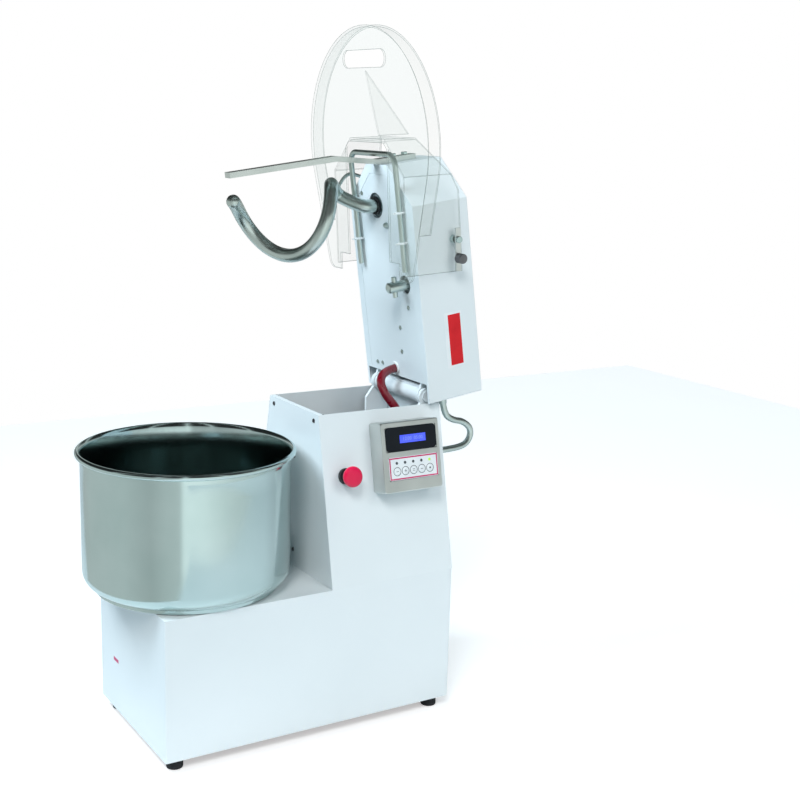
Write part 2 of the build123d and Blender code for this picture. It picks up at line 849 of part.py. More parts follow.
def side_rod_hook():
    x = -head_width / 2 - 6.2
    route = [
        (x, along(470), up(70)), (x, along(492), up(44)), (x, along(504), up(8)), (x, along(486), up(-17)),
    ]
    rod = bent_rod(route, bend_radii(route), side_rod_radius)
    pad = rod_x(-head_width / 2 - 8, -head_width / 2 - 0.1, along(470), up(70), 8)
    return raised(rod + pad)


def head_screws():
    screws = []
    for x, s in screw_places:
        screw = rod_z(x, along(s), up(-2.2), up(0.3), 5)
        screws.append(chamfer(screw.edges().group_by(Axis.Z)[0], 0.9))
    return raised(Compound(children=screws))


# ---- lid ----
def lid_turned(part):
    return raised(turned(part, -lid_lean, along(lid_pivot_along), up(lid_pivot_up)))


def lid_outline(radius, half_rear, corner):
    """Round front, straight tapering sides and rounded rear corners, as one closed face."""
    centre_y = along(lid_centre_along)
    rear = along(lid_rear_along)
    angle = radians(lid_taper)
    touch = (radius * cos(angle), centre_y + radius * sin(angle))
    corner_x = touch[0] - (rear - touch[1]) * tan(angle)
    side = make_face(Polyline(
        (-touch[0], touch[1]), (touch[0], touch[1]), (corner_x, rear), (-corner_x, rear), close=True,
    ))
    side = fillet(side.vertices().group_by(Axis.Y)[-1], corner)
    return side + Pos(0, centre_y) * Circle(radius)


def collar_outline(inset):
    half = lid_cheek + collar_wall - inset
    tip = collar_nose_along - inset
    nose = collar_nose_half - inset * 0.4
    side = collar_side_along - inset * 0.4
    return [
        (-half, along(lid_rear_along + 6)), (half, along(lid_rear_along + 6)), (half, along(side)),
        (nose, along(tip)), (-nose, along(tip)), (-half, along(side)),
    ]


def lid_shell():
    plan = lid_outline(lid_radius, 0, lid_corner)
    inner_plan = offset(plan, amount=-lid_sheet)
    z0, z1 = lid_z
    sheet_part = extrude(Pos(0, 0, z0) * plan, amount=lid_sheet)
    skirt = extrude(Pos(0, 0, z0) * plan, amount=lid_skirt)
    skirt = skirt - extrude(Pos(0, 0, z0 - 1) * inner_plan, amount=lid_skirt + 2)
    skirt = skirt - block(-300, 300, along(385), along(200), z1, z1 + 60)
    slot = Pos(0, along(lid_slot_along), z0 - 1) * extrude(
        SlotOverall(2 * lid_slot_half, lid_slot_width), amount=lid_sheet + 2
    )
    cut = block(-lid_cut_half, lid_cut_half, along(lid_cut_tip), along(200), z0 - 1, z1 + 1)
    cut = fillet(cut.edges().filter_by(Axis.Z), 20)
    rear_cut = block(
        -lid_rear_cut_half, lid_rear_cut_half, along(lid_rear_cut_along), along(200), z0 - 1, z1 + 1
    )
    collar = prism_z(collar_outline(0), z0, up(112))
    collar = collar - prism_z(collar_outline(collar_wall), z0 - 1, up(113))
    collar = collar - block(-400, 400, along(lid_rear_along + 12), along(0), z0 - 1, up(120))
    slope = prism_x(
        [(along(470), up(104)), (along(590), up(40)), (along(620), up(40)), (along(620), up(200)),
         (along(250), up(200)), (along(250), up(112))], -400, 400,
    )
    collar = collar - slope
    web = prism_x(
        [(along(collar_nose_along - 1), z1 - 1), (along(lid_slot_along - 24), z1 - 1),
         (along(collar_nose_along - 1), up(40))], -2, 2,
    )
    web = turned_z(web, -20, 0, along(lid_slot_along - 20))
    shell = sheet_part + skirt - slot - cut - rear_cut + collar + web
    bosses = both_sides(rod_x(lid_cheek - 1, lid_cheek + 6, along(lid_pivot_along), up(lid_pivot_up), 4.5))
    return lid_turned(shell - bosses)


def turned_z(part, angle, x, y):
    return Pos(x, y, 0) * Rot(0, 0, angle) * Pos(-x, -y, 0) * part


def lid_bars():
    bar = block(*bar_x, along(388), along(292), up(lid_pivot_up - 6), up(lid_pivot_up + 7))
    bar = bar - rod_x(bar_x[0] - 1, bar_x[1] + 1, along(lid_pivot_along), up(lid_pivot_up), 4.5)
    return lid_turned(both_sides(bar))


def lid_knobs():
    knob = rod_x(bar_x[1] + 0.1, bar_x[1] + 20, along(knob_along), up(lid_pivot_up), 11)
    knob = chamfer(knob.edges().filter_by(GeomType.CIRCLE).sort_by(Axis.X)[-1], 1.5)
    return lid_turned(both_sides(knob))


def lid_pivots():
    y = along(lid_pivot_along)
    z = up(lid_pivot_up)
    boss = rod_x(head_width / 2 + 0.1, lid_cheek - 0.5, y, z, 9)
    screw = rod_x(head_width / 2 + 1, bar_x[1] + 2, y, z, 4.4)
    cap = rod_x(bar_x[1] + 0.5, bar_x[1] + 6, y, z, 7.5)
    return raised(both_sides(boss + screw + cap))


# ---- services ----
def red_hose():
    radii = bend_radii(hose_route)
    print("hose radii", [round(radius) for radius in radii])
    return bent_rod(hose_route, radii, hose_radius)


def steel_conduit():
    radii = bend_radii(conduit_route)
    print("conduit radii", [round(radius) for radius in radii])
    return bent_rod(conduit_route, radii, conduit_radius)


def junction_box():
    box = block(4, 72, 266, 336.6, 560, 628)
    box = fillet(box.edges().filter_by(Axis.Z), 5)
    return box


def rear_glands():
    glands = []
    for x, z in ((conduit_x, conduit_low_z), (mains_x, mains_z)):
        nut = Plane(origin=(x, rear_y + 0.1, z), z_dir=(0, 1, 0)) * RegularPolygon(14, 6)
        body = extrude(nut, amount=8) + rod_y(x, rear_y - 3.8, rear_y + 12, z, gland_thread - 0.1)
        if x == mains_x:
            body = body - rod_y(x, rear_y - 13, rear_y + 13, z, 5)
        glands.append(body)
    return Compound(children=glands)


def panel_screws():
    screws = []
    for x, z in front_screw_places():
        head = rod_y(x, column_front - 2.4, column_front - 0.02, z, 5)
        screws.append(head + rod_y(x, column_front - 1, column_front + 6, z, screw_radius - 0.2))
    return Compound(children=screws)


os.makedirs("parts", exist_ok=True)

save("cabinet_shell", cabinet_shell())
save("column_front_panel", column_front_panel())
save("rear_panel", rear_panel())
save("floor_plate", floor_plate())
save("rubber_feet", rubber_feet())
save("hinge_frame", hinge_frame())
save("hinge_pin", hinge_pin())
save("hinge_springs", hinge_springs())
save("gearbox", gearbox())
save("motor", motor())
save("shaft_support", shaft_support())
save("shaft_bearings", shaft_bearings())
save("bowl_drive_chain", bowl_drive_chain())
save("main_shaft", main_shaft())
save("main_sprocket", main_sprocket())
save("drive_cup", drive_cup())
save("turntable", turntable())
save("table_shaft", table_shaft())
save("table_sprocket", table_sprocket())
save("bowl", bowl())
save("control_box", control_box())
save("control_window", control_window())
save("display_screen", display_screen())
save("keypad_plate", keypad_plate())
save("status_lamps", status_lamps())
for number, place in enumerate(key_places()):
    save(f"key_{number + 1}", key(place))
save("estop_collar", estop_collar())
save("estop_button", estop_button())
save("junction_box", junction_box())
save("rear_glands", rear_glands())
save("panel_screws", panel_screws())
save("head_cover", head_cover())
save("head_base_plate", head_base_plate())
save("head_chassis", head_chassis())
save("head_bearings", head_bearings())
save("head_chain", head_chain())
save("spiral_shaft", spiral_shaft())
save("spiral_sprocket", spiral_sprocket())
save("spiral_hook", spiral_hook())
save("drive_stub", drive_stub())
save("cross_pin", cross_pin())
save("stub_sprocket", stub_sprocket())
save("breaker_bar", breaker_bar())
save("breaker_bolts", breaker_bolts())
save("guard_hoop", guard_hoop())
save("hoop_clips", hoop_clips())
save("hose_grommet", hose_grommet())
save("side_rod", side_rod_hook())
save("head_screws", head_screws())
save("lid_shell", lid_shell())
save("lid_bars", lid_bars())
save("lid_knobs", lid_knobs())
save("lid_pivots", lid_pivots())
save("red_hose", red_hose())
save("steel_conduit", steel_conduit())
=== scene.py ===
import json
from math import cos, pi, radians, sin

import bpy
from mathutils import Matrix, Vector


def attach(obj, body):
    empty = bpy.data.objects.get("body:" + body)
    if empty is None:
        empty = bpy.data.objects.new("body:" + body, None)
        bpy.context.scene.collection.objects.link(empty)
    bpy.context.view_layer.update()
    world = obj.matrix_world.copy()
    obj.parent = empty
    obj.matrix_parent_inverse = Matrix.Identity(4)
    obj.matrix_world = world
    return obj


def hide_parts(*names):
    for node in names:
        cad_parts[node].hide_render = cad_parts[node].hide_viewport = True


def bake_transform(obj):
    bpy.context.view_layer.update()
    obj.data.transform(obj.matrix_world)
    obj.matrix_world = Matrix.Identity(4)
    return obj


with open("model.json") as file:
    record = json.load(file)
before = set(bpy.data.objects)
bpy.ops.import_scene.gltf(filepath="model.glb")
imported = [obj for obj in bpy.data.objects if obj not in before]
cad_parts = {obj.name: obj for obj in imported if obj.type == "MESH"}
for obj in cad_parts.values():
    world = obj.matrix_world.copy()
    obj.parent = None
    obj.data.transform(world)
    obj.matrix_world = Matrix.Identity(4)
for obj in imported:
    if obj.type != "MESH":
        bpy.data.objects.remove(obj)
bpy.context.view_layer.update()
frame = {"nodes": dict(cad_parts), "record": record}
nodes = frame["nodes"]
groups = frame["record"]["behaviour"]["bodies"]
bodyOf = {node: body for body, names in groups.items() for node in names}
slotOf = {part["node"]: part["material_slot"] for part in frame["record"]["subparts"]}
print("frame loaded:", len(nodes), "nodes")

# the head is drawn lowered and then turned up about its hinge
hinge = {"y": 0.321, "z": 0.730, "raise": 81.8}
head = {"rear": 0.333, "underside": 0.720}


def along(s):
    return head["rear"] - s


def up(t):
    return head["underside"] + t


def turnedAbout(y, z, angle):
    pivot = Matrix.Translation((0, y, z))
    return pivot @ Matrix.Rotation(radians(angle), 4, "X") @ pivot.inverted()


raised = turnedAbout(hinge["y"], hinge["z"], -hinge["raise"])


# small helpers
def deselect():
    if bpy.context.object and bpy.context.object.mode != "OBJECT":
        bpy.ops.object.mode_set(mode="OBJECT")
    bpy.ops.object.select_all(action="DESELECT")


def pick(piece):
    deselect()
    piece.select_set(True)
    bpy.context.view_layer.objects.active = piece


def named(name):
    piece = bpy.context.object
    piece.name = name
    piece.data.name = name
    return piece


def applyAll(piece):
    pick(piece)
    for modifier in list(piece.modifiers):
        bpy.ops.object.modifier_apply(modifier=modifier.name)
    return piece


def setPlace(piece, matrix=None):
    # the place goes into the mesh, so that the object sits at the origin
    pick(piece)
    if matrix is not None:
        piece.matrix_world = matrix @ piece.matrix_world
    bpy.ops.object.transform_apply(location=True, rotation=True, scale=True)
    return piece


def facesOut(piece):
    pick(piece)
    bpy.ops.object.mode_set(mode="EDIT")
    bpy.ops.mesh.select_all(action="SELECT")
    bpy.ops.mesh.remove_doubles(threshold=0.00002)
    bpy.ops.mesh.normals_make_consistent(inside=False)
    bpy.ops.object.mode_set(mode="OBJECT")
    return piece


def softened(piece, width, segments=2, angle=32):
    bevel = piece.modifiers.new("edges", "BEVEL")
    bevel.width = width
    bevel.segments = segments
    bevel.limit_method = "ANGLE"
    bevel.angle_limit = radians(angle)
    bevel.miter_outer = "MITER_ARC"
    applyAll(piece)
    shaded(piece)
    even = piece.modifiers.new("even", "WEIGHTED_NORMAL")
    even.keep_sharp = True
    return applyAll(piece)


def shaded(piece, angle=34):
    pick(piece)
    bpy.ops.object.shade_smooth_by_angle(angle=radians(angle))
    return piece


pole = 0.0002  # turned profiles start and end this close to their axis
smallestRing = 0.0001


def lathe(name, profile, centre=(0, 0, 0), segments=96):
    # a ring is extruded and scaled from one radius and height to the next
    radius, height = max(profile[0][0], smallestRing), profile[0][1]
    deselect()
    bpy.ops.mesh.primitive_circle_add(
        vertices=segments, radius=radius, fill_type="NOTHING",
        location=(centre[0], centre[1], centre[2] + height),
    )
    piece = named(name)
    bpy.ops.object.mode_set(mode="EDIT")
    bpy.ops.mesh.select_all(action="SELECT")
    for nextRadius, nextHeight in profile[1:]:
        nextRadius = max(nextRadius, smallestRing)
        bpy.ops.mesh.extrude_region_move(
            TRANSFORM_OT_translate={"value": (0, 0, nextHeight - height)}
        )
        share = nextRadius / radius
        bpy.ops.transform.resize(
            value=(share, share, 1),
            center_override=(centre[0], centre[1], centre[2] + nextHeight),
        )
        radius, height = nextRadius, nextHeight
    bpy.ops.object.mode_set(mode="OBJECT")
    setPlace(piece)
    facesOut(piece)
    return shaded(piece, 40)


def arcOf(centre, radius, start, end, steps):
    spots = []
    for step in range(steps + 1):
        angle = radians(start + (end - start) * step / steps)
        spots.append((centre[0] + radius * cos(angle), centre[1] + radius * sin(angle)))
    return spots


def boxPiece(name, low, high):
    low, high = Vector(low), Vector(high)
    deselect()
    bpy.ops.mesh.primitive_cube_add(size=1, location=(low + high) / 2)
    piece = named(name)
    piece.scale = high - low
    return setPlace(piece)


def tube(name, points, radius, order, sides):
    line = bpy.data.curves.new(name, "CURVE")
    line.dimensions = "3D"
    line.resolution_u = 12
    line.bevel_depth = radius
    line.bevel_resolution = sides
    line.use_fill_caps = True
    spline = line.splines.new("NURBS")
    spline.points.add(len(points) - 1)
    for number, spot in enumerate(points):
        spline.points[number].co = (*spot, 1)
    spline.order_u = order
    spline.use_endpoint_u = True
    piece = bpy.data.objects.new(name, line)
    bpy.context.scene.collection.objects.link(piece)
    return piece


def centreLine(curvePiece):
    plain = curvePiece.copy()
    plain.data = curvePiece.data.copy()
    plain.data.bevel_depth = 0
    bpy.context.scene.collection.objects.link(plain)
    bpy.context.view_layer.update()
    mesh = bpy.data.meshes.new_from_object(plain.evaluated_get(bpy.context.evaluated_depsgraph_get()))
    spots = [tuple(v.co) for v in mesh.vertices]
    bpy.data.objects.remove(plain)
    return spots


def toMesh(piece):
    pick(piece)
    bpy.ops.object.convert(target="MESH")
    return facesOut(bpy.context.object)


def joined(name, pieces):
    deselect()
    for piece in pieces:
        piece.select_set(True)
    bpy.context.view_layer.objects.active = pieces[0]
    bpy.ops.object.join()
    return named(name)


def refined(node, edge, segments):
    # a merged copy of a CAD piece with its edges broken
    source = nodes[node]
    piece = bpy.data.objects.new(node + "Fine", source.data.copy())
    bpy.context.scene.collection.objects.link(piece)
    pick(piece)
    bpy.ops.object.mode_set(mode="EDIT")
    bpy.ops.mesh.select_all(action="SELECT")
    bpy.ops.mesh.remove_doubles(threshold=0.00001)
    bpy.ops.mesh.dissolve_limited(angle_limit=radians(0.6))
    bpy.ops.object.mode_set(mode="OBJECT")
    return softened(piece, edge, segments)


def dress(piece, material, body, stands=()):
    piece.data.materials.clear()
    piece.data.materials.append(material)
    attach(piece, body)
    if stands:
        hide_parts(*stands)
    return piece


# materials
def grained(name, look):
    # broad patches tint the colour, fine grain moves the roughness and the bump
    material = bpy.data.materials.new(name)
    material.use_nodes = True
    tree = material.node_tree
    shader = tree.nodes["Principled BSDF"]
    for socket, value in look["fixed"].items():
        shader.inputs[socket].default_value = value
    place = tree.nodes.new("ShaderNodeTexCoord")
    patches = tree.nodes.new("ShaderNodeTexNoise")
    patches.inputs["Scale"].default_value = look["patchScale"]
    patches.inputs["Detail"].default_value = 4
    tree.links.new(place.outputs["Object"], patches.inputs["Vector"])
    tint = tree.nodes.new("ShaderNodeValToRGB")
    tint.color_ramp.elements[0].position = 0.32
    tint.color_ramp.elements[1].position = 0.70
    tint.color_ramp.elements[0].color = (*look["dark"], 1)
    tint.color_ramp.elements[1].color = (*look["light"], 1)
    tree.links.new(patches.outputs["Fac"], tint.inputs["Fac"])
    tree.links.new(tint.outputs["Color"], shader.inputs["Base Color"])
    mapping = tree.nodes.new("ShaderNodeMapping")
    mapping.inputs["Scale"].default_value = look.get("stretch", (1, 1, 1))
    mapping.inputs["Rotation"].default_value = look.get("turn", (0, 0, 0))
    tree.links.new(place.outputs["Object"], mapping.inputs["Vector"])
    grain = tree.nodes.new("ShaderNodeTexNoise")
    grain.inputs["Scale"].default_value = look["grainScale"]
    grain.inputs["Detail"].default_value = 5
    tree.links.new(mapping.outputs["Vector"], grain.inputs["Vector"])
    rough = tree.nodes.new("ShaderNodeMapRange")
    rough.inputs["To Min"].default_value = look["rough"][0]
    rough.inputs["To Max"].default_value = look["rough"][1]
    tree.links.new(grain.outputs["Fac"], rough.inputs["Value"])
    tree.links.new(rough.outputs["Result"], shader.inputs["Roughness"])
    bump = tree.nodes.new("ShaderNodeBump")
    bump.inputs["Strength"].default_value = look["bump"]
    bump.inputs["Distance"].default_value = look["depth"]
    tree.links.new(grain.outputs["Fac"], bump.inputs["Height"])
    tree.links.new(bump.outputs["Normal"], shader.inputs["Normal"])
    return material


whitePaint = grained("whitePaint", {
    "fixed": {"Specular IOR Level": 0.5, "Coat Weight": 0.15, "Coat Roughness": 0.2},
    "dark": (0.78, 0.825, 0.84), "light": (0.81, 0.85, 0.865), "patchScale": 3,
    "grainScale": 620, "rough": (0.30, 0.42), "bump": 0.10, "depth": 0.0004,
})
polished = grained("polishedSteel", {
    "fixed": {"Metallic": 1.0},
    "dark": (0.47, 0.59, 0.58), "light": (0.55, 0.66, 0.655), "patchScale": 5,
    "stretch": (60, 60, 1.2), "grainScale": 9, "rough": (0.10, 0.20), "bump": 0.05, "depth": 0.0002,
})
hookSteel = grained("hookSteel", {
    "fixed": {"Metallic": 1.0},
    "dark": (0.46, 0.54, 0.51), "light": (0.58, 0.65, 0.62), "patchScale": 14,
    "grainScale": 60, "rough": (0.26, 0.38), "bump": 0.02, "depth": 0.0002,
})
brushed = grained("brushedSteel", {
    "fixed": {"Metallic": 1.0},
    "dark": (0.60, 0.63, 0.61), "light": (0.70, 0.73, 0.71), "patchScale": 9,
    "stretch": (1, 4, 90), "grainScale": 16, "rough": (0.26, 0.44), "bump": 0.10, "depth": 0.0002,
})
barSteel = grained("barSteel", {
    "fixed": {"Metallic": 1.0},
    "dark": (0.62, 0.66, 0.63), "light": (0.74, 0.77, 0.74), "patchScale": 9,
    "stretch": (90, 2, 2), "grainScale": 12, "rough": (0.24, 0.40), "bump": 0.08, "depth": 0.0002,
})
darkSteel = grained("darkSteel", {
    "fixed": {"Metallic": 0.9},
    "dark": (0.10, 0.10, 0.11), "light": (0.22, 0.22, 0.23), "patchScale": 20,
    "grainScale": 240, "rough": (0.35, 0.6), "bump": 0.2, "depth": 0.0004,
})
castGrey = grained("castGrey", {
    "fixed": {"Metallic": 0.2},
    "dark": (0.20, 0.23, 0.24), "light": (0.29, 0.32, 0.33), "patchScale": 12,
    "grainScale": 380, "rough": (0.5, 0.75), "bump": 0.5, "depth": 0.0008,
})
blackRubber = grained("blackRubber", {
    "fixed": {"Specular IOR Level": 0.35},
    "dark": (0.012, 0.013, 0.015), "light": (0.03, 0.031, 0.034), "patchScale": 30,
    "grainScale": 700, "rough": (0.55, 0.8), "bump": 0.3, "depth": 0.0004,
})
blackPlastic = grained("blackPlastic", {
    "fixed": {"Specular IOR Level": 0.5},
    "dark": (0.010, 0.011, 0.013), "light": (0.022, 0.023, 0.026), "patchScale": 25,
    "grainScale": 900, "rough": (0.32, 0.46), "bump": 0.12, "depth": 0.0003,
})
windowBlack = grained("windowBlack", {
    "fixed": {"Specular IOR Level": 0.18},
    "dark": (0.004, 0.006, 0.009), "light": (0.008, 0.011, 0.015), "patchScale": 12,
    "grainScale": 60, "rough": (0.16, 0.28), "bump": 0.02, "depth": 0.0002,
})
whiteFilm = grained("whiteFilm", {
    "fixed": {"Specular IOR Level": 0.4},
    "dark": (0.80, 0.82, 0.84), "light": (0.86, 0.88, 0.89), "patchScale": 30,
    "grainScale": 1200, "rough": (0.4, 0.55), "bump": 0.1, "depth": 0.0002,
})
clipPlastic = grained("clipPlastic", {
    "fixed": {"Subsurface Weight": 0.1, "Subsurface Radius": (0.002, 0.002, 0.002)},
    "dark": (0.82, 0.83, 0.82), "light": (0.90, 0.91, 0.90), "patchScale": 40,
    "grainScale": 800, "rough": (0.4, 0.55), "bump": 0.1, "depth": 0.0002,
})
redHose = grained("redHose", {
    "fixed": {"Coat Weight": 0.9, "Coat Roughness": 0.07},
    "dark": (0.13, 0.001, 0.008), "light": (0.27, 0.004, 0.016), "patchScale": 16,
    "grainScale": 120, "rough": (0.22, 0.36), "bump": 0.12, "depth": 0.0005,
})
redPlastic = grained("redPlastic", {
    "fixed": {"Coat Weight": 0.25, "Coat Roughness": 0.2},
    "dark": (0.68, 0.003, 0.055), "light": (0.80, 0.005, 0.075), "patchScale": 20,
    "grainScale": 500, "rough": (0.32, 0.45), "bump": 0.06, "depth": 0.0002,
})
redInk = grained("redInk", {
    "fixed": {"Specular IOR Level": 0.4},
    "dark": (0.60, 0.006, 0.012), "light": (0.72, 0.012, 0.018), "patchScale": 30,
    "grainScale": 900, "rough": (0.35, 0.5), "bump": 0.05, "depth": 0.0001,
})
roseInk = grained("roseInk", {
    "fixed": {"Specular IOR Level": 0.4},
    "dark": (0.55, 0.03, 0.13), "light": (0.64, 0.05, 0.17), "patchScale": 30,
    "grainScale": 900, "rough": (0.35, 0.5), "bump": 0.05, "depth": 0.0001,
})
greyInk = grained("greyInk", {
    "fixed": {"Specular IOR Level": 0.4},
    "dark": (0.05, 0.06, 0.065), "light": (0.09, 0.10, 0.11), "patchScale": 40,
    "grainScale": 900, "rough": (0.4, 0.55), "bump": 0.05, "depth": 0.0001,
})
lampGreen = grained("lampGreen", {
    "fixed": {"Emission Color": (0.45, 0.75, 0.05, 1), "Emission Strength": 0.35},
    "dark": (0.38, 0.60, 0.06), "light": (0.48, 0.72, 0.10), "patchScale": 200,
    "grainScale": 800, "rough": (0.25, 0.4), "bump": 0.05, "depth": 0.0002,
})
screenBlue = grained("screenBlue", {
    "fixed": {"Emission Color": (0.04, 0.07, 0.75, 1), "Emission Strength": 0.75},
    "dark": (0.05, 0.07, 0.55), "light": (0.08, 0.11, 0.72), "patchScale": 60,
    "grainScale": 2500, "rough": (0.2, 0.35), "bump": 0.05, "depth": 0.0001,
})
screenInk = grained("screenInk", {
    "fixed": {"Emission Color": (0.10, 0.14, 0.85, 1), "Emission Strength": 0.7},
    "dark": (0.16, 0.2, 0.6), "light": (0.22, 0.27, 0.7), "patchScale": 60,
    "grainScale": 900, "rough": (0.3, 0.4), "bump": 0.02, "depth": 0.0001,
})


def clearSheet(name, look):
    # clear plastic: nearly nothing face on, denser and greener seen along its surface
    material = bpy.data.materials.new(name)
    material.use_nodes = True
    tree = material.node_tree
    shader = tree.nodes["Principled BSDF"]
    shader.inputs["IOR"].default_value = 1.45
    shader.inputs["Specular IOR Level"].default_value = 0.6
    place = tree.nodes.new("ShaderNodeTexCoord")
    haze = tree.nodes.new("ShaderNodeTexNoise")
    haze.inputs["Scale"].default_value = look["hazeScale"]
    haze.inputs["Detail"].default_value = 3
    tree.links.new(place.outputs["Object"], haze.inputs["Vector"])
    rough = tree.nodes.new("ShaderNodeMapRange")
    rough.inputs["To Min"].default_value = look["rough"][0]
    rough.inputs["To Max"].default_value = look["rough"][1]
    tree.links.new(haze.outputs["Fac"], rough.inputs["Value"])
    tree.links.new(rough.outputs["Result"], shader.inputs["Roughness"])
    tint = tree.nodes.new("ShaderNodeValToRGB")
    tint.color_ramp.elements[0].color = (*look["dark"], 1)
    tint.color_ramp.elements[1].color = (*look["light"], 1)
    tree.links.new(haze.outputs["Fac"], tint.inputs["Fac"])
    tree.links.new(tint.outputs["Color"], shader.inputs["Base Color"])
    edge = tree.nodes.new("ShaderNodeLayerWeight")
    edge.inputs["Blend"].default_value = look["edgeBlend"]
    cover = tree.nodes.new("ShaderNodeMapRange")
    cover.inputs["To Min"].default_value = look["cover"][0]
    cover.inputs["To Max"].default_value = look["cover"][1]
    tree.links.new(edge.outputs["Facing"], cover.inputs["Value"])
    tree.links.new(cover.outputs["Result"], shader.inputs["Alpha"])
    return material


clearLid = clearSheet("clearLid", {
    "dark": (0.36, 0.42, 0.37), "light": (0.44, 0.50, 0.45), "hazeScale": 6,
    "rough": (0.06, 0.14), "edgeBlend": 0.12, "cover": (0.055, 0.28),
})
lidLine = clearSheet("lidLine", {
    "dark": (0.16, 0.20, 0.18), "light": (0.26, 0.30, 0.27), "hazeScale": 30,
    "rough": (0.15, 0.3), "edgeBlend": 0.5, "cover": (0.42, 0.62),
})
print("materials ready")

slotMaterial = {
    "cabinet_paint": whitePaint, "stainless": brushed, "polished_steel": polished,
    "dark_steel": darkSteel, "cast_grey": castGrey, "black_rubber": blackRubber,
    "clear_lid": clearLid, "clip_plastic": clipPlastic, "black_plastic": blackPlastic,
    "window_black": windowBlack, "screen_blue": screenBlue, "keypad_print": whiteFilm,
    "key_grey": whiteFilm, "lamp_green": greyInk, "estop_red": redPlastic, "hose_red": redHose,
}
for name, node in nodes.items():
    node.data.materials.clear()
    node.data.materials.append(slotMaterial[slotOf[name]])
for name in ["hinge_pin", "hinge_springs"]:
    nodes[name].data.materials[0] = whitePaint


# CAD pieces with broken edges
# node: width of the edge, steps across it, finish
brokenEdges = {
    "cabinet_shell": (0.0007, 2, whitePaint), "column_front_panel": (0.0007, 2, whitePaint),
    "rear_panel": (0.0007, 2, whitePaint), "head_cover": (0.0007, 2, whitePaint),
    "head_base_plate": (0.0007, 2, whitePaint), "hinge_frame": (0.0006, 2, whitePaint),
    "drive_cup": (0.0008, 2, polished), "spiral_shaft": (0.0008, 2, polished),
    "lid_pivots": (0.0008, 2, polished), "control_box": (0.0008, 3, brushed),
    "lid_bars": (0.0008, 3, brushed), "junction_box": (0.0008, 2, blackPlastic),
    "lid_knobs": (0.0008, 2, darkSteel), "head_bearings": (0.0008, 1, castGrey),
    "gearbox": (0.0008, 1, castGrey), "motor": (0.0008, 1, castGrey),
    "breaker_bar": (0.0018, 3, barSteel),
}
for node, (edge, steps, finish) in brokenEdges.items():
    dress(refined(node, edge, steps), finish, bodyOf[node], [node])
print("sheet metal and boxes done")

# lid edges
lidEdge = {"width": 0.0004, "sharp": 32}


def makeLidEdges():
    # the sawn and folded edges of the clear sheet look like fine dark lines
    deselect()
    lines = bpy.data.objects.new("lidEdgeLines", nodes["lid_shell"].data.copy())
    bpy.context.scene.collection.objects.link(lines)
    pick(lines)
    bpy.ops.object.mode_set(mode="EDIT")
    bpy.context.tool_settings.mesh_select_mode = (False, True, False)
    bpy.ops.mesh.select_all(action="SELECT")
    bpy.ops.mesh.remove_doubles(threshold=0.00002)
    bpy.ops.mesh.select_all(action="DESELECT")
    bpy.ops.mesh.edges_select_sharp(sharpness=radians(lidEdge["sharp"]))
    bpy.ops.mesh.select_all(action="INVERT")
    bpy.ops.mesh.delete(type="EDGE")
    bpy.ops.object.mode_set(mode="OBJECT")
    bpy.context.tool_settings.mesh_select_mode = (True, False, False)
    bpy.ops.object.convert(target="CURVE")
    lines = bpy.context.object
    lines.data.bevel_depth = lidEdge["width"]
    lines.data.bevel_resolution = 1
    bpy.ops.object.convert(target="MESH")
    lines = named("lidEdgeLines")
    shaded(lines, 60)
    dress(lines, lidLine, "lid")


makeLidEdges()
print("lid edges done")

# bowl
bowl = {
    "y": -0.219, "radius": 0.224, "wall": 0.002, "top": 0.646, "bottom": 0.348, "corner": 0.035,
    "bead": 0.0065, "rimReach": 0.235, "ringRadius": 0.200, "ringBottom": 0.342, "ringWall": 0.003,
    "lugHalf": 0.013, "lugInner": 0.179,
}


def makeBowl():
    radius, corner, wall = bowl["radius"], bowl["corner"], bowl["wall"]
    bottom, top, bead = bowl["bottom"], bowl["top"], bowl["bead"]
    beadCentre = (bowl["rimReach"] - bead, top - bead)
    flat = radius - corner
    outside = [(0, bottom), (flat * 0.5, bottom)]
    outside += arcOf((flat, bottom + corner), corner, -90, 0, 10)
    outside += [(radius, bottom + 0.12), (radius, top - 0.06), (radius, top - 0.024)]
    outside += [(radius + 0.0012, top - 0.018)]
    rim = arcOf(beadCentre, bead, -150, 95, 16)
    inside = [(radius + 0.0005, top - 0.003), (radius - wall, top - 0.009), (radius - wall, top - 0.06)]
    inside += [(radius - wall, bottom + 0.12)]
    inner = corner - wall
    inside += arcOf((flat, bottom + corner), inner, 0, -90, 10)
    inside += [(flat * 0.5, bottom + wall), (0, bottom + wall)]
    shell = lathe("bowlShell", outside + rim + inside, (0, bowl["y"], 0), 144)
    ring = lathe("bowlFootRing", [
        (bowl["ringRadius"] - bowl["ringWall"], bottom + 0.001),
        (bowl["ringRadius"] - bowl["ringWall"], bowl["ringBottom"] + 0.0006),
        (bowl["ringRadius"] - bowl["ringWall"] + 0.0006, bowl["ringBottom"]),
        (bowl["ringRadius"] - 0.0006, bowl["ringBottom"]),
        (bowl["ringRadius"], bowl["ringBottom"] + 0.0006),
        (bowl["ringRadius"], bottom + 0.0035),
    ], (0, bowl["y"], 0), 144)
    lugs = []
    for number in range(3):
        lug = boxPiece(
            f"lug{number}", (-bowl["lugHalf"], bowl["lugInner"], bowl["ringBottom"]),
            (bowl["lugHalf"], bowl["ringRadius"] - 0.001, bottom + 0.001),
        )
        softened(lug, 0.001)
        turn = Matrix.Translation((0, bowl["y"], 0)) @ Matrix.Rotation(radians(120 * number), 4, "Z")
        lugs.append(setPlace(lug, turn))
    piece = joined("bowlPolished", [shell, ring, *lugs])
    shaded(piece, 40)
    dress(piece, polished, "bowl", ["bowl"])


makeBowl()
print("bowl done")

